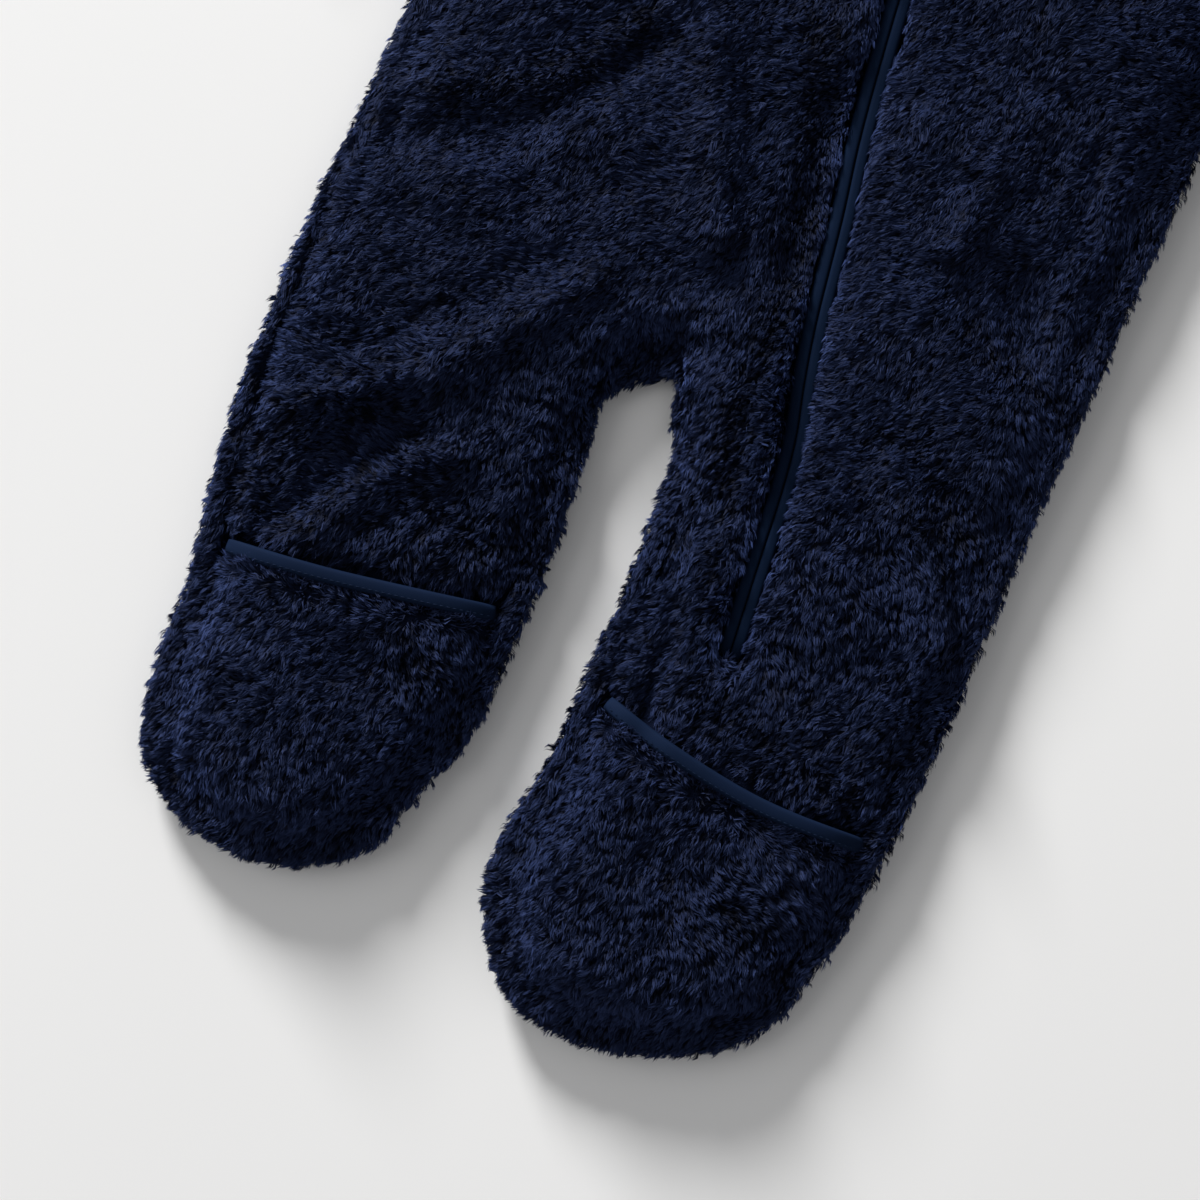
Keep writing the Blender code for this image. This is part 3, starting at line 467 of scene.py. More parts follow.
# Each row: places along it, x and y from the crotch, then half width and height; all mm.
CREASES = (
    # The fold across the right thigh, what lies round it, and the shin.
    ((-41, 25), (-62, -3), (-87, -37), (-112, -60), 6.5, 3.4),
    ((-112, -60), (-142, -79), 5, 2.4),
    ((-56, 28), (-76, 4), (-98, -24), (-126, -46), 9, -2.0),
    ((-98, -72), (-138, -96), 8, -1.6),
    ((-80, -62), (-102, -91), (-124, -122), 6, -5.4),
    ((-66, -64), (-92, -93), (-112, -122), 7, 3.2),
    ((-58, -88), (-24, -92), 10, -2.0),
    ((-62, -106), (-98, -122), 7, 1.6),
    # The crotch.
    ((-34, 4), (8, 37), 6, 2.0),
    ((-18, 2), (-3, 12), 5, -4.0),
    ((-34, 26), (-64, 46), 6, -1.6),
    # The folds on the right hip.
    ((-60, 142), (-79, 104), (-103, 79), (-142, 62), 8, 2.8),
    ((-62, 116), (-78, 86), (-104, 58), (-140, 40), 8, -2.6),
    ((-96, 34), (-134, 26), 10, 1.8),
    ((-84, 62), (-52, 58), 10, -2.0),
    # Beside the zip.
    ((-40, 128), (-24, 96), (-8, 60), 8, 4.0),
    ((12, 122), (21, 56), 7, -3.4),
    ((25, 50), (34, -8), 6, -1.6),
    # Left hip.
    ((52, 134), (84, 124), (80, 92), 8, 4.0),
    ((99, 144), (106, 134), 7, -2.6),
    ((118, 153), (123, 116), 5.5, -2.4),
    ((116, 88), (124, 74), 10, -3.0),
    ((84, 62), (116, 34), 10, 2.2),
    # Left leg and side.
    ((88, 14), (136, -2), 11, -2.2),
    ((95, 2), (118, -22), (131, -40), (141, -56), 5, 4.0),
    ((121, -2), (139, -24), 9, -3.4),
    ((58, -10), (78, -36), (104, -60), 11, 2.6),
    ((78, -84), (118, -96), 11, -2.6),
    ((38, -20), (32, -52), 8, -1.8),
    ((38, -88), (47, -128), 5, -3.4),
    ((138, 128), (146, 84), 9, -1.8),
    # The crease down the outside of the right leg.
    ((-159, 60), (-157, 20), (-153, -47), (-150, -84), 2.8, -2.6),
    ((-152, 60), (-151, 20), (-147, -47), (-143, -76), 5, 2.0),
    # Chest and shoulders.
    ((-128, 172), (-72, 160), 10, -2.2),
    ((46, 176), (104, 166), 10, -2.0),
    ((-92, 300), (-62, 262), 9, -2.0),
    ((96, 304), (70, 268), 9, -1.8),
    # Foot covers.
    ((-64, -156), (-36, -168), 13, -3.0),
    ((-104, -150), (-78, -160), 9, -1.6),
    ((-106, -200), (-92, -214), 8, -1.8),
    ((70, -180), (92, -196), (130, -194), 11, -3.0),
    ((88, -152), (108, -158), 8, -1.6),
    ((46, -206), (70, -218), 8, -1.8),
)
WAVES = ((0.034, 1.3 * MM), (0.015, 0.9 * MM))     # size and height
WAVE_SEED = 5


def gap_to_line(points, start, end):
    """Plan distance from points to a straight line between two places."""
    along = end - start
    t = np.clip((points[:, :2] - start) @ along / (along @ along), 0, 1)
    return np.linalg.norm(points[:, :2] - start - t[:, None] * along, axis=1)


def by_line(points, places, half_width):
    """1 on a line through places, given as in the tables, and fading beside it."""
    places = CROTCH + np.array(places) * MM
    gap = np.min([gap_to_line(points, *pair) for pair in zip(places, places[1:])], axis=0)
    return np.exp(-(gap / (half_width * MM)) ** 2)


SCATTER = np.array((7919, 104729, 15487))   # primes that spread cells over a table
TABLE_SIZE = 4096
TABLE_SHIFT = 7.3       # in cells, so that no row of corners lies on the middle


def soft_noise(points, size, seed):
    """Smooth random numbers from -1 to 1 that change over `size`."""
    table = np.random.default_rng(seed).uniform(-1, 1, TABLE_SIZE)
    scaled = np.asarray(points) / size + TABLE_SHIFT
    cell = np.floor(scaled).astype(int)
    t = scaled - cell
    t = t * t * (3 - 2 * t)
    total = np.zeros(len(scaled))
    for corner in np.ndindex(2, 2, 2):
        share = np.prod(np.where(corner, t, 1 - t), axis=1)
        total += share * table[(cell + corner) @ SCATTER % TABLE_SIZE]
    return total


def crease_height(points):
    """How far the creases lift or press the cloth at each point."""
    flat = points * (1, 1, 0)
    total = sum(height * soft_noise(flat, size, WAVE_SEED) for size, height in WAVES)
    for *places, half_width, height in CREASES:
        total += height * MM * by_line(points, places, half_width)
    return total


# %% [markdown]
# ## Seams
#
# A few small tools measure along surfaces. A piece is sewn along the edges of its outer
# faces. Along the zip and the bindings the edge is seen. Everywhere else the pile hides it,
# so there the cloth and its pile rise to the soft form and no groove is left. Down the
# outside of the wearer's right leg they rise only part of the way, which leaves the thin
# crease one sees.

# %% Seams
SEAM_BLEND = 11.0 * MM
SEAM_LIFT = 5.0 * MM    # most that a hidden seam lifts the cloth
BY_BINDING = {"back": 1.0, "front": 0.8}    # how hidden a piece's seam is along a binding
RIGHT_SIDE = (-0.125, -0.19)    # the leg's outer seam is beyond this x and above this y
SIDE_CREASE_Y = (-0.090, -0.035)    # its crease fades out between these
ZIP_END = (0.068, -0.1457)
TRIM_REACH = 7.0 * MM   # a seam within this of a tape or binding is beside it
TRIM_EDGE = 3.0 * MM    # longest edge of the trims' points that are searched


def unit(vectors):
    return vectors / np.maximum(np.linalg.norm(vectors, axis=1), 1e-9)[:, None]


def flattened(vectors, normals):
    """The part of each vector that lies along its surface, with length 1."""
    return unit(vectors - normals * (vectors * normals).sum(axis=1)[:, None])


def nearest(points, targets):
    """Index of the nearest target to each point, and its distance."""
    tree = KDTree(len(targets))
    for index, target in enumerate(targets):
        tree.insert(target, index)
    tree.balance()
    found = [tree.find(p) for p in points]
    return np.array([f[1] for f in found]), np.array([f[2] for f in found])


def near_trim(points, kind):
    """Which points are beside a trim of that kind."""
    near = np.zeros(len(points), bool)
    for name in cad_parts:
        if kind in name:
            body = merged(name)
            split(body, TRIM_EDGE)
            near |= nearest(points, arrays(body)[0])[1] < TRIM_REACH
            body.free()
    return near


def soft_normals(points):
    """Normals of the soft form over each point."""
    return unit(np.column_stack([-sampled(SLOPE_X, points), -sampled(SLOPE_Y, points),
                                 np.ones(len(points))]))


def top_share(normals, start=0.4):
    """1 where a surface looks up, falling to 0 on the sides, which keep their place."""
    return np.clip(normals[:, 2] * 2 - start, 0, 1)


class Seam:
    """Where a piece is sewn: points along the edges of its outer faces, and their kinds."""

    def __init__(self, piece):
        faces = piece.faces[piece.outer]
        edges = np.concatenate([faces[:, [0, 1]], faces[:, [1, 2]], faces[:, [2, 0]]])
        single, uses = np.unique(np.sort(edges, axis=1), axis=0, return_counts=True)
        a, b = (piece.points[single[uses == 1][:, end]] for end in (0, 1))
        self.points = np.vstack([a + (b - a) * t for t in (0.0, 0.25, 0.5, 0.75)])
        x, y, _ = self.points.T
        self.by_zip = near_trim(self.points, "zip_tape") & (y > ZIP_END[1] + 1 * MM)
        self.bound = near_trim(self.points, "binding") & ~self.by_zip
        self.side = (x < RIGHT_SIDE[0]) & (y > RIGHT_SIDE[1]) & ~self.bound
        bound = BY_BINDING.get(piece.name.split("_")[0], 0.0)
        crease = np.interp(y, SIDE_CREASE_Y, (0.6, 1.0))
        self.hidden = np.select([self.by_zip, self.bound, self.side], [0.0, bound, crease], 1.0)

    def share(self, points, normals):
        """How much a hidden seam lifts each point."""
        index, gap = nearest(points, self.points)
        return np.exp(-(gap / SEAM_BLEND) ** 2) * self.hidden[index] * top_share(normals, 0.2)


print("hidden seams rise over", SEAM_BLEND, "m, by up to", SEAM_LIFT, "m")

# %% [markdown]
# ## The knitted ground
#
# Each piece's ground is its solid with the long pile taken off: every point of the outer
# face moves in to the dense underfur, or by less where the piece is thin. A point is on the
# outer face if nothing lies against it, so inner faces and seams stay where they are.

# %% The knitted ground
PILE_DEPTH = 5.2 * MM
PRESSED = -0.55         # a face that looks down more than this has its pile pressed flat
GROUND_LEAST = 1.5 * MM     # thickness of the ground that stays
AGAINST = 2.6 * MM      # a face with something nearer than this in front has no pile
INSIDE = 30.0 * MM      # the same for a face that looks up: it's inside the garment
UNDERFUR = 0.62         # share of the pile's depth at which its dense underfur lies
INSIDE_NECK_Y = 0.19    # past this the back's inner face shows in the neck, bare
THICKEST = 30.0 * MM    # no solid's wall is thicker
PILE_LEAST = 0.3 * MM
AT_WALL = (0.6, 0.8)    # a point shallower than the first share of its neighbours' depth
                        # lies by a wall, and is given the second


def crosses(corners):
    """Along each triangle's normal, with twice its area for length."""
    return np.cross(corners[:, 1] - corners[:, 0], corners[:, 2] - corners[:, 0])


class Piece:
    """One fleece piece: its points at the pile's tips and how deep the ground lies."""

    def __init__(self, name):
        self.name = name
        body = merged(name)
        split(body, LONGEST_EDGE)
        self.points, self.normals, self.faces = arrays(body)
        body.free()
        self.outer = self.outer_faces()
        self.normals = self.outer_normals()
        self.depth = self.pile_depth()
        self.seam = Seam(self)
        self.close_seams()
        self.lit = self.outer_normals()

    def outer_faces(self):
        """Faces with nothing against them, and not the back's inside at the neck."""
        corners = self.points[self.faces]
        normals, middles = unit(crosses(corners)), corners.mean(axis=1)
        open_faces = np.array([not covered(m, n, INSIDE if n[2] > 0.3 else AGAINST)
                               for m, n in zip(middles, normals)])
        inside_neck = (normals[:, 2] > 0.5) & (middles[:, 1] > INSIDE_NECK_Y)
        return open_faces & ~(inside_neck & (self.name == "back"))

    def outer_normals(self):
        """A normal for each point from its outer faces alone, or its own if it has none."""
        self.face_normals = unit(crosses(self.points[self.faces]))
        total = np.zeros_like(self.points)
        for corner in range(3):
            np.add.at(total, self.faces[self.outer, corner], self.face_normals[self.outer])
        self.on_outer = np.linalg.norm(total, axis=1) > 1e-6
        return np.where(self.on_outer[:, None], unit(total), self.normals)

    def pile_depth(self):
        """Depth of the pile at each point: 0 off the outer face, less where it is thin."""
        depth = np.zeros(len(self.points))
        for k in np.flatnonzero(self.on_outer & (self.normals[:, 2] >= PRESSED)):
            start = Vector(self.points[k] - self.normals[k] * 0.1 * MM)
            hit = SOLIDS[self.name].ray_cast(start, Vector(-self.normals[k]), THICKEST)
            wall = hit[3] if hit[0] is not None else THICKEST
            depth[k] = min(max(wall - GROUND_LEAST, PILE_LEAST), PILE_DEPTH)
        widest = depth.copy()
        for k in range(3):
            a, b = self.faces[self.outer, k], self.faces[self.outer, (k + 1) % 3]
            np.maximum.at(widest, a, depth[b])
            np.maximum.at(widest, b, depth[a])
        at_wall = self.on_outer & (depth < AT_WALL[0] * widest)
        depth[at_wall] = AT_WALL[1] * widest[at_wall]
        return depth

    def close_seams(self):
        """Lifts the cloth beside hidden seams to the soft form."""
        share = self.seam.share(self.points, self.normals)
        rise = np.clip(sampled(SOFT_HEIGHT, self.points) - self.points[:, 2], 0, SEAM_LIFT)
        self.points[:, 2] += rise * share * self.on_outer
        share = share[:, None]
        self.normals = unit(self.normals * (1 - share) + soft_normals(self.points) * share)

    def ground(self):
        """Places of the underfur, with the creases."""
        ground = self.points - self.normals * (self.depth * UNDERFUR)[:, None]
        ground[:, 2] += crease_height(self.points) * top_share(self.normals) * (self.depth > 0)
        return ground

# %% Objects from meshes
def new_object(name, mesh, finish):
    """An object of a mesh, in one finish."""
    mesh.materials.append(finish)
    thing = bpy.data.objects.new(name, mesh)
    bpy.context.scene.collection.objects.link(thing)
    return thing


def add_mesh(name, points, faces, finish):
    """A smooth object from arrays of points and faces."""
    mesh = bpy.data.meshes.new(name)
    mesh.from_pydata([tuple(p) for p in points], [], [tuple(f) for f in faces])
    mesh.shade_smooth()
    return new_object(name, mesh, finish)


def placed(thing, node=None, body="garment"):
    """Puts an object on its body and, if it has one, in a solid's place."""
    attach(thing, body)
    if node:
        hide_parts(node)
    print(thing.name, len(thing.data.polygons), "faces")
    return thing

# %% The ground of each piece
PIECES = {name: Piece(name) for name in FLEECE}
for name, piece in PIECES.items():
    shell = add_mesh("ground_" + name, piece.ground(), piece.faces, GROUND_FINISH)
    piece.shell = placed(shell, name)

# %% [markdown]
# ## Where the pile grows and how it lies
#
# The pile's strands are planted evenly over the outer faces, densest where the overall is
# looked at most. Fleece has a nap: the strands lie over, here towards the feet and the
# wearer's right. Handling has turned the nap in places and stood it up in others, where one
# looks down between the strands; there the fleece is darkened with painted shade. Two tables
# give that.

# %% Planting
DENSE = 2.6e6           # strands on a square metre inside the picture
SPARSE = 0.4e6          # the same outside it
PICTURE_FADE = 0.03     # how far outside it they have thinned out to that
EVEN = (0.7548777, 0.5698403)   # steps that fill a face evenly
NAP = np.array((-0.53, -0.85, 0.0))
# Random turns and stands of the pile: amount, size in metres and seed.
TURN_NOISE = (0.6, 0.030, 11)
STAND_NOISE = (0.25, 0.018, 14)
# Each row: x, y from the crotch and radius in millimetres, turn of the nap in degrees.
NAP_TURNS = (
    # Right leg.
    (-34, -30, 26, 55),
    (-30, -74, 26, 55),
    (-104, -72, 26, -45),
    # Crotch and right foot.
    (-8, 16, 20, 40),
    (-40, -142, 30, 60),
    (-80, -200, 30, 12),
    # Left leg and foot.
    (140, 70, 34, 35),
    (140, 0, 34, 50),
    (110, -46, 26, 65),
    (92, -92, 24, 70),
    (118, -180, 34, 80),
    (78, -196, 24, 60),
    # Beside the zip, and the right hip.
    (28, 70, 14, 30),
    (-60, 110, 34, -12),
    (-100, 60, 26, -6),
)
# Each row: two places and half width as for a crease, and how far the pile stands up
# there, from 0 to 1. Standing pile is darkened with painted shade.
NAP_STANDS = (
    # Right leg, round the thigh fold.
    ((-138, -106), (-134, -118), 9, 0.8),
    ((-146, -94), (-100, -62), 9, 0.65),
    ((-119, -122), (-80, -66), 6, 0.8),
    ((-60, -93), (-22, -93), 13, 0.6),
    ((-26, -30), (-34, -56), 10, 0.4),
    # Crotch, and beside the zip.
    ((-15, 3), (-5, 10), 6, 1.0),
    ((-54, 18), (-10, 22), 7, 0.2),
    ((-2, 150), (22, 70), 9, 0.7),
    ((26, 50), (30, -30), 8, 0.8),
    # Left leg.
    ((92, 14), (146, -12), 10, 0.55),
    ((98, 62), (142, 50), 6, 0.6),
    ((90, -11), (126, -16), 8, 0.5),
    ((58, -112), (134, -130), 9, 0.6),
    # Right hip.
    ((-135, 62), (-88, 92), 8, 0.8),
    ((-88, 92), (-64, 130), 8, 0.7),
    # Feet.
    ((-54, -148), (-24, -158), 12, 0.5),
    ((96, -188), (138, -194), 13, 0.5),
)


def in_picture(points):
    """1 inside the camera's picture, falling to 0 a little way outside it."""
    across = np.array([math.cos(VIEW_TURN), math.sin(VIEW_TURN)])
    up = np.array([-math.sin(VIEW_TURN), math.cos(VIEW_TURN)])
    shift = points[:, :2] - VIEW_MIDDLE
    reach = np.maximum(abs(shift @ across), abs(shift @ up)) - VIEW_WIDTH / 2
    return 1 - np.clip(reach / PICTURE_FADE, 0, 1)


def plant(piece, rng):
    """Even places on the outer faces: tip point, normals, depth and density for strands."""
    faces = piece.faces[piece.outer]
    corners = piece.points[faces]
    area = np.linalg.norm(crosses(corners), axis=1) / 2
    wanted = SPARSE + (DENSE - SPARSE) * in_picture(corners.mean(axis=1))
    wanted[piece.face_normals[piece.outer, 2] < PRESSED] = 0
    count = np.floor(area * wanted + rng.random(len(faces))).astype(int)
    face = np.repeat(np.arange(len(faces)), count)
    turn = np.arange(len(face)) - np.repeat(np.cumsum(count) - count, count)
    u, v = ((rng.random(len(faces))[face] + turn * step) % 1 for step in EVEN)
    over = u + v > 1
    u[over], v[over] = 1 - u[over], 1 - v[over]
    weights = np.column_stack([1 - u - v, u, v])[:, :, None]
    tips = (corners[face] * weights).sum(axis=1)
    normals = unit((piece.normals[faces[face]] * weights).sum(axis=1))
    lit = unit((piece.lit[faces[face]] * weights).sum(axis=1))
    depth = (piece.depth[faces[face]] * weights[:, :, 0]).sum(axis=1)
    return tips, normals, lit, depth, wanted[face]


def nap_turn(points):
    """Angle by which the nap is turned at each point."""
    amount, *size_seed = TURN_NOISE
    total = amount * soft_noise(points, *size_seed)
    for x, y, radius, turn in NAP_TURNS:
        gap = np.linalg.norm(points[:, :2] - CROTCH - np.array((x, y)) * MM, axis=1)
        total += math.radians(turn) * np.exp(-(gap / (radius * MM)) ** 2)
    return total


def nap_stand(points):
    """How far the pile stands up at each point, from 0 to 1."""
    amount, *size_seed = STAND_NOISE
    total = amount * np.clip(soft_noise(points, *size_seed), 0, 1)
    for *places, half_width, amount in NAP_STANDS:
        total += amount * by_line(points, places, half_width)
    return np.clip(total, 0, 1)


# %% [markdown]
# ## Relief of the pile
#
# Pile that has been worn lies in locks a millimetre or two wide and several long, side by
# side along the nap, and the locks gather into rows of waves across it. Both are smooth
# random heights, stretched along the nap or across it. They are made for eight ways of the
# nap and blended, so that they follow it as it turns. Tips lean together on each crest and
# leave dark lines between, and where the relief is low the pile is darkened with painted shade.

# %% Relief of the pile
# Each row: size along the nap and across it, height, and how far a tip moves where the
# relief rises by 1 a millimetre, in millimetres; then how steep the light sees it.
RELIEF = {
    "rows of waves": (2.7, 5.5, 1.0, 1.3, 2.8),
    "locks": (3.6, 0.95, 0.55, 0.32, 2.2),
    "fine locks": (2.2, 0.60, 0.30, 0.14, 2.2),
}
# Painted shade: how much darker the pile is painted where each of them is low.
PAINTED_SHADE_LOW = {"rows of waves": 0.5, "locks": 0.7, "fine locks": 0.5}
NAP_WAYS = 8
STEP = 0.3 * MM         # slopes are measured over this
FINE_EVEN = 1.5         # fine locks are this less the roughness, so they fill the even parts
FIRST_SEED, SEED_STEP = 20, 10


def relief(points, flow, along_size, across_size, seed):
    """Smooth random heights, mostly between -1 and 1, in cells laid along the nap."""
    total, power = np.zeros(len(points)), np.zeros(len(points))
    for number in range(NAP_WAYS):
        way = number * math.pi / NAP_WAYS
        off = abs((flow - way + math.pi / 2) % math.pi - math.pi / 2)
        weight = np.clip(1 - off * NAP_WAYS / math.pi, 0, 1)
        here = weight > 0
        angle = math.atan2(NAP[1], NAP[0]) + way
        x, y, z = points[here].T / MM
        place = np.column_stack([
            (x * math.cos(angle) + y * math.sin(angle)) / along_size,
            (y * math.cos(angle) - x * math.sin(angle)) / across_size, z / along_size])
        total[here] += weight[here] * soft_noise(place, 1.0, seed + number)
        power += weight ** 2
    return total / np.sqrt(np.maximum(power, 0.2))


def combed(tips, normals, flow, rough):
    """What the relief does to each strand: rise, shift, change of normal, and painted shade."""
    rise, painted_shading = np.zeros(len(tips)), np.zeros(len(tips))
    shift, bent = np.zeros_like(tips), np.zeros_like(tips)
    for number, (name, row) in enumerate(RELIEF.items()):
        along_size, across_size, high, gather, steep = row
        share = FINE_EVEN - rough if name == "fine locks" else rough
        size = (along_size, across_size, FIRST_SEED + SEED_STEP * number)
        height = relief(tips, flow, *size)
        slope = np.column_stack([
            (relief(tips + np.eye(3)[axis] * STEP, flow, *size) - height) / (STEP / MM)
            for axis in range(3)])
        slope -= normals * (slope * normals).sum(axis=1)[:, None]
        rise += height * share * high * MM
        painted_shading += height * share * PAINTED_SHADE_LOW[name]
        shift += slope * (share * gather * MM)[:, None]
        bent -= slope * (share * high * steep)[:, None]
    return rise, shift, bent, painted_shading


# %% [markdown]
# ## How the pile leans
#
# Strands follow the nap, turned as the table says. By the zip, a foot cover's binding and
# the side crease they lean over the seam as well, and they close over the end of the zip.
# Neighbours gather into pointed wisps: one strand in nine is a guide, and those nearest to
# it lean its way.

# %% Lean and wisps
PARTING = 6.0 * MM      # how far from a seam strands still lean by it
# How far strands lean away from a seam, or over it where this is less than 0: along the
# zip, a foot cover's binding and the side crease.
PARTS = (-0.1, -1.7, -0.5)
CLOSING, CLOSING_SIZE = 1.6, 8.0 * MM   # how they close over the end of the zip
# How tufted the pile is: fully below the first y from the crotch, less above the second.
ROUGH_Y, ROUGH = (-34 * MM, 10 * MM), (1.0, 0.6)
ROUGH_CROTCH, CROTCH_SIZE = 0.35, 26 * MM   # how much more it is round the crotch
WISP_STRANDS = 9


def lean_direction(tips, normals, turn, piece):
    """Which way each strand leans along the surface."""
    nap = flattened(np.tile(NAP, (len(tips), 1)), normals)
    turn = turn[:, None]
    direction = nap * np.cos(turn) + np.cross(normals, nap) * np.sin(turn)
    seam = piece.seam
    index, gap = nearest(tips, seam.points)
    away = flattened(tips - seam.points[index], normals)
    near = np.exp(-(gap / PARTING) ** 2)
    over_edge = seam.bound[index] & piece.name.startswith("foot_cover")
    weight = np.select([seam.by_zip[index], over_edge, seam.side[index]], PARTS, 0)
    to_end = np.column_stack([ZIP_END - tips[:, :2], np.zeros(len(tips))])
    closing = CLOSING * np.exp(-(np.linalg.norm(to_end, axis=1) / CLOSING_SIZE) ** 2)
    lean = direction + away * (weight * near)[:, None] + unit(to_end) * closing[:, None]
    return flattened(lean, normals)


def roughness(points):
    """How tufted the pile is: less over the hips, more on the legs and feet."""
    x, y = (points[:, :2] - CROTCH).T
    by_crotch = np.exp(-(np.hypot(x, y) / CROTCH_SIZE) ** 2)
    return np.interp(y, ROUGH_Y, ROUGH) + ROUGH_CROTCH * by_crotch


def wisps(tips, rng):
    """Chooses a guide for every few strands, and each strand's guide and gap to it."""
    guides = rng.choice(len(tips), max(1, len(tips) // WISP_STRANDS), replace=False)
    index, gap = nearest(tips, tips[guides])
    return guides[index], gap


print("one strand in", WISP_STRANDS, "is a guide")

# %% [markdown]
# ## One strand
#
# A strand is a thin leaf of two triangles, bent across its middle. It is lit partly as the
# ribbon it is and mostly as the cloth and the relief under it, so that folds, waves and
# locks show. Along the outline of the overall the wisps stand out further, and are painted
# lighter, as painted light.

# %% One strand
STRAND_WIDTH = 0.54 * MM
STRAND_REACH = 5.4 * MM
# A strand's points are its root, two in the middle and its tip.
STRAND_UP = np.array((0.0, 0.7, 0.7, 1.0))
STRAND_ACROSS = (0.5, 0.0, 1.0, 0.5)
MIDDLE = (0.15, 0.5, 0.35)  # shares of its root, bend and tip in its middle
ROOT_DEPTH = 0.3 * MM       # below the ground
WIDEST = 2.2                # times as wide, at most, where strands are sparse
WISP_PULL = 0.30
WISP_SIZE = 4.0 * MM
# How much each measure varies from wisp to wisp, and within a wisp.
VARIES = {"turn": (0.16, 0.08), "length": (0.08, 0.05), "fringe": (1.0, 0.3),
          "reach": (0.2, 0.1), "bend": (0.22, 0.12)}
ROLL = 0.4
SWIRLS = ((0.012, 12), (0.007, 13))     # size and seed of the small turns of the nap
# The last is painted shade: how much darker a strand that stands up is painted.
STAND_RISE, STAND_SHORT, STAND_PAINTED_SHADE = 0.8 * MM, 0.5, 0.38   # of a strand that stands up
FRINGE = 1.6 * MM       # how much further the wisps stand out along the outline
CLOTH_LIGHT = 0.80      # share of the cloth's own normal in a strand's
FORM_STEEP = 0.8        # how steep the light sees the cloth's form, where 1 is as it is
FOLD_STEEP = 1.5        # and how steep it sees the creases
NAP_LIGHT = 0.35        # a leaning strand faces back against the nap by this much
# Painted light: the pile along an edge is painted lighter, the overall's left edge most, and
# the edges on the far side from the window.
LEFT_SIDE = np.array((-0.99, 0.10, 0.0))
FAR_SIDE = np.array((0.77, -0.54, 0.0))
EDGE_PAINTED_LIGHT, LEFT_PAINTED_LIGHT, OTHER_PAINTED_LIGHT, FAR_PAINTED_LIGHT = 1.4, 2.0, 0.3, 2.2


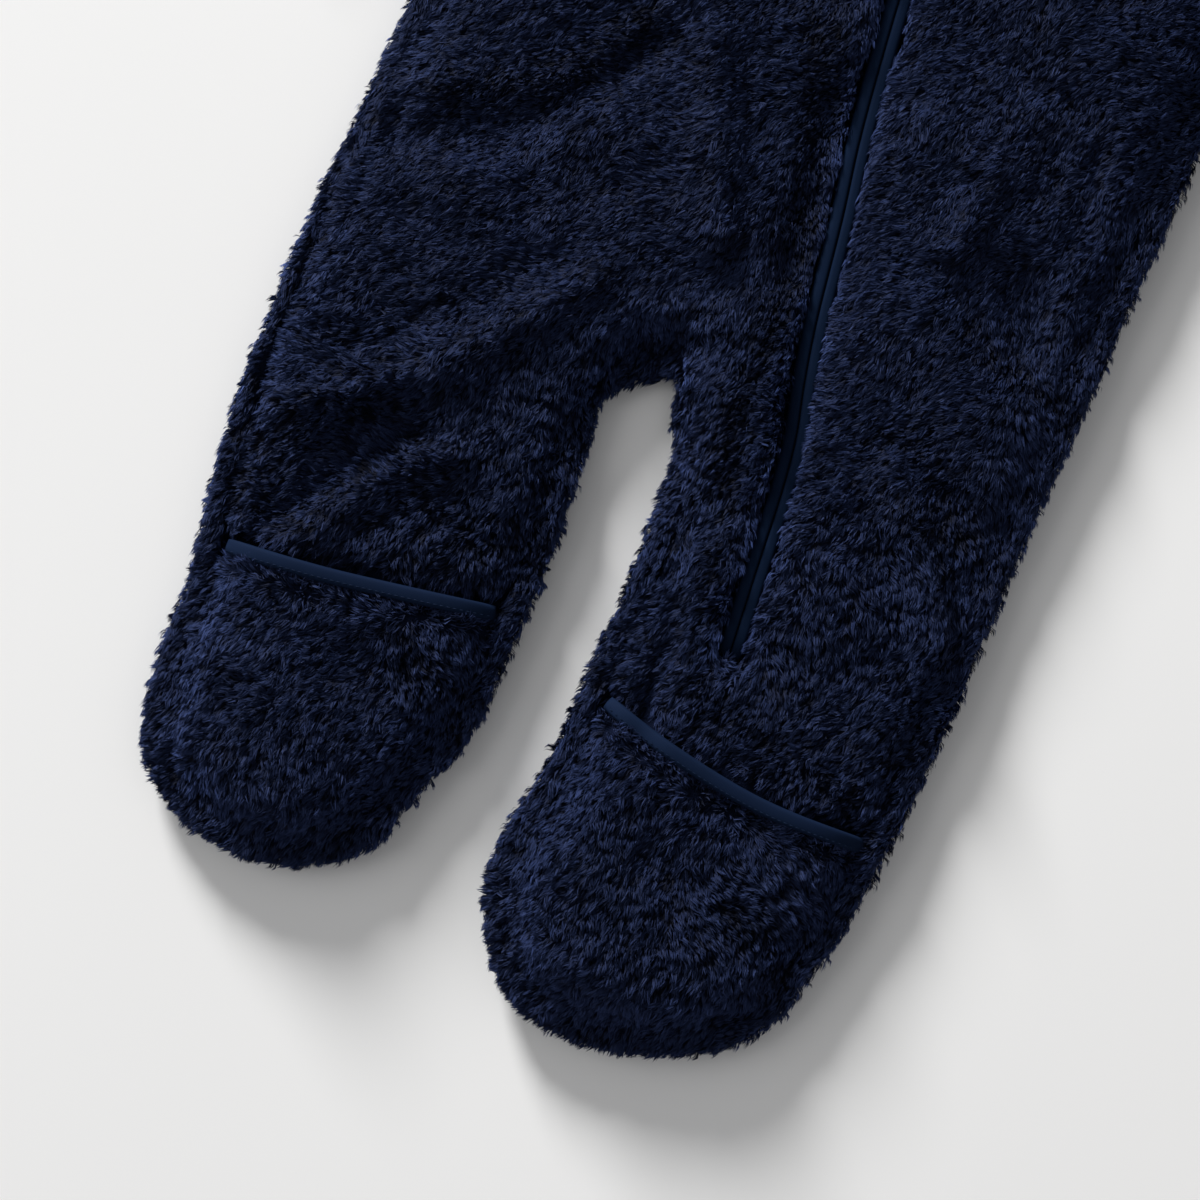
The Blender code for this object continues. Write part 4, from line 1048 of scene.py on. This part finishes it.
def strand_points(piece, rng):
    """Points and normals of each strand, and what the finish wants to know about it."""
    tips, normals, lit, depth, wanted = plant(piece, rng)
    count = len(tips)
    wisp, wisp_gap = wisps(tips, rng)
    fold, top = crease_height(tips), top_share(normals)
    folds = [(crease_height(tips + np.eye(3)[axis] * STEP) - fold) * top / STEP
             for axis in (0, 1)]
    folds = np.column_stack([*folds, np.zeros(count)])
    tips[:, 2] += fold * top
    rough, stand = roughness(tips), nap_stand(tips)
    swirl = sum(0.5 * soft_noise(tips, *size_seed) for size_seed in SWIRLS)
    flow = nap_turn(tips) + swirl * rough
    high, shift, bent, painted_shading = combed(tips, normals, flow, rough)

    def varied(measure):
        between, within = VARIES[measure]
        return rng.normal(0, between, count)[wisp] + rng.normal(0, within, count)

    # Where the root and the tip are.
    direction = lean_direction(tips, normals, flow + varied("turn") * rough, piece)
    scale = np.minimum(np.sqrt(DENSE / wanted), WIDEST)
    upright = np.clip(1 - abs(normals[:, 2]), 0, 1)
    full = np.clip(0.88 + varied("length") * rough, 0.45, 1.15)
    rise = depth * full + high + STAND_RISE * stand
    rise += FRINGE * upright * np.clip(varied("fringe"), -0.6, 2.0)
    reach = STRAND_REACH * (1 - 0.2 * upright) * np.clip(1 + varied("reach"), 0.5, 1.6)
    reach *= (1 - STAND_SHORT * stand) * np.clip(depth / PILE_DEPTH, 0.5, 1) * scale ** 0.5
    root = tips - normals * (depth + ROOT_DEPTH)[:, None]
    tip = root + normals * rise[:, None] + direction * reach[:, None] + shift
    pull = WISP_PULL * (rough + upright) * np.clip(1 - wisp_gap / (WISP_SIZE * scale), 0, 1)
    tip += (tip[wisp] - tip) * pull[:, None]

    # How it bends, and its two points in the middle.
    bend = root + normals * (rise * 1.05)[:, None] + direction * (reach * 0.35)[:, None]
    bend += np.cross(direction, normals) * (varied("bend") * reach)[:, None]
    middle = MIDDLE[0] * root + MIDDLE[1] * bend + MIDDLE[2] * tip
    half = STRAND_WIDTH / 2 * scale * rng.uniform(0.7, 1.3, count)
    along = unit(tip - middle)
    side = unit(np.cross(along, normals))
    roll = rng.normal(0, ROLL, count)[:, None]
    wide = side * np.cos(roll) + unit(np.cross(side, along)) * np.sin(roll)
    own = unit(np.cross(wide, along))
    wide = wide * half[:, None]
    points = np.stack([root, middle - wide, middle + wide, tip], axis=1)
    points[:, :, 2] = np.maximum(points[:, :, 2], 0.2 * MM)

    # How it is lit, and its marks for the finish.
    steep = lit * (FORM_STEEP, FORM_STEEP, 1) - folds * FOLD_STEEP
    steep = unit(unit(steep) + bent - direction * NAP_LIGHT)
    shown = unit(own * (1 - CLOTH_LIGHT) + steep * CLOTH_LIGHT)
    # Painted shade: shorter strands and pile that stands up are painted darker.
    painted_shading += (full - 0.35) / 0.5 - STAND_PAINTED_SHADE * stand
    # Painted light: edges that face the left or the far side from the window are painted
    # lighter.
    left_painted_light = np.where(tips[:, 0] < CROTCH[0], LEFT_PAINTED_LIGHT, OTHER_PAINTED_LIGHT)
    painted_edge_light = EDGE_PAINTED_LIGHT + left_painted_light * np.clip(normals @ LEFT_SIDE, 0, 1)
    painted_edge_light += FAR_PAINTED_LIGHT * np.clip(normals @ FAR_SIDE, 0, 1)
    painted_edge_light *= np.clip(1.6 - 1.6 * normals[:, 2] ** 2, 0, 1)
    marks = np.zeros((count, len(STRAND_UP), 4), np.float32)
    # Painted shade: the finish reads this as how far up the pile a point is, so low pile is
    # darker.
    marks[:, :, 0] = STRAND_UP * np.clip(painted_shading, 0.2, 1.25)[:, None]
    # A random tone for each strand, plus the painted light along the edges.
    marks[:, :, 1] = (rng.random(count) + painted_edge_light)[:, None]
    marks[:, :, 2] = STRAND_ACROSS
    marks[:, :, 3] = rng.random(count)[wisp][:, None]
    return points, np.repeat(shown[:, None], len(STRAND_UP), axis=1), marks


print("strands reach about", STRAND_REACH, "m and are about", STRAND_WIDTH, "m wide")

# %% [markdown]
# ## The pile of each piece
#
# Thousands of separate strands would be slow, so those of a piece go into one mesh, or a
# few. The arrays are written straight into it, with the normals that they are lit by.

# %% The pile of each piece
MOST_STRANDS = 90000    # in one object
STRAND_FACES = np.array(((0, 2, 1), (1, 2, 3)))


def add_strands(name, points, normals, marks):
    """Joins many strands into one object."""
    first = np.arange(len(points))[:, None, None] * len(STRAND_UP)
    faces = (first + STRAND_FACES).reshape(-1, 3)
    mesh = bpy.data.meshes.new(name)
    mesh.vertices.add(len(points) * len(STRAND_UP))
    mesh.vertices.foreach_set("co", points.astype(np.float32).ravel())
    mesh.loops.add(faces.size)
    mesh.loops.foreach_set("vertex_index", faces.astype(np.int32).ravel())
    mesh.polygons.add(len(faces))
    mesh.polygons.foreach_set("loop_start", np.arange(0, faces.size, 3, dtype=np.int32))
    mesh.update(calc_edges=True)
    mesh.normals_split_custom_set_from_vertices(normals.reshape(-1, 3))
    mark = mesh.attributes.new("pile", "FLOAT_COLOR", "POINT")
    mark.data.foreach_set("color", marks.ravel())
    return placed(new_object(name, mesh, PILE_FINISH))


def grow_pile(piece, seed):
    """The pile of one piece, in as many objects as its strands need."""
    points, normals, marks = strand_points(piece, np.random.default_rng(seed))
    order = np.argsort(points[:, 0, 1], kind="stable")
    parts = []
    total = math.ceil(len(order) / MOST_STRANDS)
    for number, chosen in enumerate(np.array_split(order, total)):
        label = "pile_" + piece.name + ("_%d" % (number + 1) if total > 1 else "")
        parts.append(add_strands(label, points[chosen], normals[chosen], marks[chosen]))
    return parts


for number, (name, piece) in enumerate(PIECES.items()):
    piece.pile = grow_pile(piece, 100 + number)

# %% Cloth sizes
# Flat sizes where a piece's plan doesn't give them: the back wraps round the sides, and a
# sleeve is cut all round, twice its armhole by its length.
CUT = {"back": (0.345, 0.655), "sleeve_right": (0.233, 0.175), "sleeve_left": (0.233, 0.175)}
for name, piece in PIECES.items():
    low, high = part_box(name)
    corners = piece.points[piece.faces[piece.outer]]
    area = float(np.linalg.norm(crosses(corners), axis=1).sum() / 2)
    flat = CUT.get(name, (high.x - low.x, high.y - low.y))
    min(area, flat[0] * flat[1])
    print(name, [round(side, 3) for side in flat], "m cut,", round(area, 4), "m2 shown")

# %% [markdown]
# ## Bindings
#
# A binding is a folded strip of smooth stretch knit sewn over a raw edge. Its fold is round.
# Each solid has the strip's place and section, so a copy of it is softened by subdivision,
# which also rounds its ends. A row of small stitches holds each one, near its lower edge.

# %% Bindings
def object_from(body, name, finish):
    """A new object from a bmesh, selected and active."""
    mesh = bpy.data.meshes.new(name)
    body.to_mesh(mesh)
    body.free()
    mesh.polygons.foreach_set("material_index", [0] * len(mesh.polygons))
    thing = new_object(name, mesh, finish)
    bpy.ops.object.select_all(action="DESELECT")
    thing.select_set(True)
    bpy.context.view_layer.objects.active = thing
    return thing


def modified(thing, kind, **settings):
    """Adds a modifier to the active object and applies it."""
    bpy.ops.object.modifier_add(type=kind)
    modifier = thing.modifiers[-1]
    for setting, value in settings.items():
        setattr(modifier, setting, value)
    bpy.ops.object.modifier_apply(modifier=modifier.name)


def softened(node):
    body = merged(node)
    bmesh.ops.join_triangles(body, faces=list(body.faces), angle_face_threshold=0.5,
                             angle_shape_threshold=3.1)
    thing = object_from(body, "soft_" + node, BINDING_FINISH)
    modified(thing, "SUBSURF", levels=2)
    thing.data.shade_smooth()
    return placed(thing, node)


BINDINGS = {node: softened(node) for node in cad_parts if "binding" in node}

# %% [markdown]
# ## Zip
#
# It is a reverse coil zip: the coil is sewn to the back of two smooth woven tapes, and from
# the front one sees only the tapes rolling down into a narrow slit, and a little of the
# coil in it. Each tape is a band swept down the zip's line. The coil's turns are small
# rounded bars, a few faces each, joined into one mesh.

# %% Measures of the zip
# Places down the middle of the zip, x and y in millimetres.
ZIP_PLACES = ((3, 265.3), (13, 186.3), (21, 122.3), (29, 70.3), (36.5, 34.3), (44, -6.7),
              (50, -32.2), (56, -53.7), (60, -76.7), (64, -111.7), (68, -145.7))
ZIP_START_Y = 268.8 * MM
TAPE_TOP = 15.8 * MM
# Section of a tape: distance from the middle of the zip and height, in millimetres.
TAPE_SECTION = ((0.24, -1.5), (0.28, -0.9), (0.50, -0.35), (0.95, -0.06), (1.8, 0.0),
                (2.8, -0.04), (3.7, -0.18), (4.4, -0.55), (5.0, -1.3), (5.15, -2.2),
                (5.0, -3.7), (0.5, -3.7))
TAPE_DIP = (0.2, 0.6, 1.1, 1.7, 2.4, 3.2)   # how far it sinks at its closed end, in mm
COIL_PITCH = 1.15 * MM
COIL_DEPTH = 1.35 * MM
COIL_SPAN = slice(3, -9)    # the coil's turns stop short of the tapes' ends
# Each ring of a bar: distance from its middle and radius, in millimetres.
COIL_RINGS = ((-1.25, 0.13), (-1.0, 0.29), (1.0, 0.29), (1.25, 0.13))
BAR_TURNS = np.radians(60 * np.arange(6))

# %% Paths, bands and bars
def smooth_path(places, step):
    """Evenly spaced points about `step` apart on a smooth curve through places in mm."""
    p = np.array(places, float) * MM
    p = np.vstack([2 * p[0] - p[1], p, 2 * p[-1] - p[-2]])
    curve = [p[1]]
    for a, b, c, d in zip(p, p[1:], p[2:], p[3:]):
        for t in np.linspace(0, 1, 17)[1:]:
            curve.append(0.5 * (2 * b + (c - a) * t + (2 * a - 5 * b + 4 * c - d) * t ** 2
                                + (3 * b - a - 3 * c + d) * t ** 3))
    curve = np.array(curve)
    run = np.concatenate([[0], np.cumsum(np.linalg.norm(np.diff(curve, axis=0), axis=1))])
    stations = np.linspace(0, run[-1], round(run[-1] / step) + 1)
    return np.column_stack([np.interp(stations, run, curve[:, k]) for k in (0, 1)])


def sides(path):
    """Unit vectors along a path and to its left."""
    along = unit(np.gradient(path, axis=0))
    return along, np.column_stack([-along[:, 1], along[:, 0]])


def tube_quads(rings, around):
    """Faces of a closed section swept through rings, and its two ends."""
    k = np.arange(around)
    quads = [tuple(q) for ring in range(rings - 1) for q in np.column_stack(
        [ring * around + k, ring * around + (k + 1) % around,
         (ring + 1) * around + (k + 1) % around, (ring + 1) * around + k])]
    return quads + [tuple(k[::-1]), tuple((rings - 1) * around + k)]


def sweep(name, path, section, tops, finish):
    """A band along a path from a section: an array of distance to the left, height."""
    left = sides(path)[1]
    points = np.empty((len(path), len(section), 3))
    points[:, :, :2] = path[:, None] + left[:, None] * section[None, :, :1]
    points[:, :, 2] = tops[:, None] + section[None, :, 1]
    return add_mesh(name, points.reshape(-1, 3), tube_quads(len(path), len(section)), finish)


def bars(name, places, axes, wides, heights, rings, finish):
    """Small rounded bars, one at each place along its axis, joined into one mesh."""
    points, faces = [], []
    for place, axis, wide, height in zip(places, axes, wides, heights):
        base = len(points)
        for reach, radius in rings:
            for turn in BAR_TURNS:
                flat = place + axis * reach * MM + wide * radius * math.cos(turn) * MM
                points.append((*flat, height + radius * math.sin(turn) * MM))
        faces.extend(tuple(base + k for k in face)
                     for face in tube_quads(len(rings), len(BAR_TURNS)))
    return add_mesh(name, points, faces, finish)

# %% Tapes and coil
zip_path = smooth_path(ZIP_PLACES, 1.5 * MM)
zip_path[0, 1] = ZIP_START_Y
tape_tops = np.full(len(zip_path), TAPE_TOP)
tape_tops[-len(TAPE_DIP):] -= np.array(TAPE_DIP) * MM
for side, sign in (("right", -1), ("left", 1)):
    section = np.array(TAPE_SECTION)[::-sign] * (sign * MM, MM)
    tape = sweep("woven_tape_" + side, zip_path, section, tape_tops, TAPE_FINISH)
    placed(tape, "zip_tape_" + side)

coil_path = smooth_path(ZIP_PLACES, COIL_PITCH)[COIL_SPAN]
along, left = sides(coil_path)
coil_heights = np.full(len(coil_path), TAPE_TOP - COIL_DEPTH)
placed(bars("zip_coil", coil_path, left, along, coil_heights, COIL_RINGS, COIL_FINISH))

# %% [markdown]
# ## Slider and pull tab
#
# Both are cast in zinc and lacquered navy. Casting leaves no sharp edge, so copies of the
# solids get eased edges. The tab is stamped: its broad end has a shallow recess on each side.

# %% Slider and pull tab
RECESS = {"thickness": 0.75 * MM, "depth": -0.22 * MM}  # distance from the edge, and depth
SHARP = math.radians(35)    # edges sharper than this are eased


def eased(node, label, width, body_name):
    """A merged copy of a metal solid with eased edges."""
    body = merged(node)
    bmesh.ops.dissolve_limit(body, angle_limit=math.radians(2), verts=list(body.verts),
                             edges=list(body.edges))
    if node == "zip_pull":
        broad = [f for f in body.faces if abs(f.normal.z) > 0.99]
        bmesh.ops.inset_individual(body, faces=broad, **RECESS)
    thing = object_from(body, label, LACQUER)
    modified(thing, "BEVEL", width=width, segments=3, limit_method="ANGLE",
             angle_limit=SHARP)
    modified(thing, "WEIGHTED_NORMAL")
    return placed(thing, node, body_name)


eased("zip_slider", "cast_slider", 0.22 * MM, "garment")
eased("zip_pull", "stamped_pull", 0.16 * MM, "pull_tab")

# %% [markdown]
# ## Stitches
#
# Each binding is held by a row of stitches. A stitch is a small rounded bar lying on the
# binding, a little longer than the gap to the next one.

# %% Stitches
STITCH_PITCH = 2.6 * MM
STITCH_LIFT = 0.08 * MM
STITCH_RINGS = ((-0.85, 0.05), (-0.6, 0.2), (0.6, 0.2), (0.85, 0.05))
# Places along each row, in millimetres, and the binding they lie on.
STITCH_ROWS = {
    "foot_binding_right": ((-133, -189.6), (-96, -184), (-63, -177.6), (-27, -170)),
    "foot_binding_left": ((34, -184), (52, -188.8), (82, -193.9), (109, -195.9), (146, -194)),
    "neck_binding_back": ((-28, 307.5), (-20, 304.1), (0, 300.6), (20, 304.1), (28, 307.5)),
    "neck_binding_right": ((-4, 266.1), (-12.2, 268.1), (-19.4, 272.1), (-25, 278.4),
                           (-29.5, 285.8), (-32.6, 293.9), (-34, 301.5)),
    "neck_binding_left": ((10.6, 267.2), (12.7, 268.1), (19.4, 272.1), (25, 278.4),
                          (29.5, 285.8), (32.6, 293.9), (34, 301.5)),
    "cuff_binding_right": ((-243.8, 90.4), (-261.4, 109.9), (-279, 129.4)),
    "cuff_binding_left": ((243.8, 90.4), (261.4, 109.9), (279, 129.4)),
}


def surface_height(thing, x, y):
    """Height of an object's upper surface at a place, or nan beside it."""
    found, where, _, _ = thing.ray_cast(Vector((x, y, ABOVE)), DOWN)
    return where.z if found else math.nan


for node, places in STITCH_ROWS.items():
    row = smooth_path(places, STITCH_PITCH)
    along, left = sides(row)
    heights = np.array([surface_height(BINDINGS[node], *place) for place in row])
    on = np.isfinite(heights)
    placed(bars("stitches_" + node, row[on], along[on], left[on], heights[on] + STITCH_LIFT,
                STITCH_RINGS, THREAD))
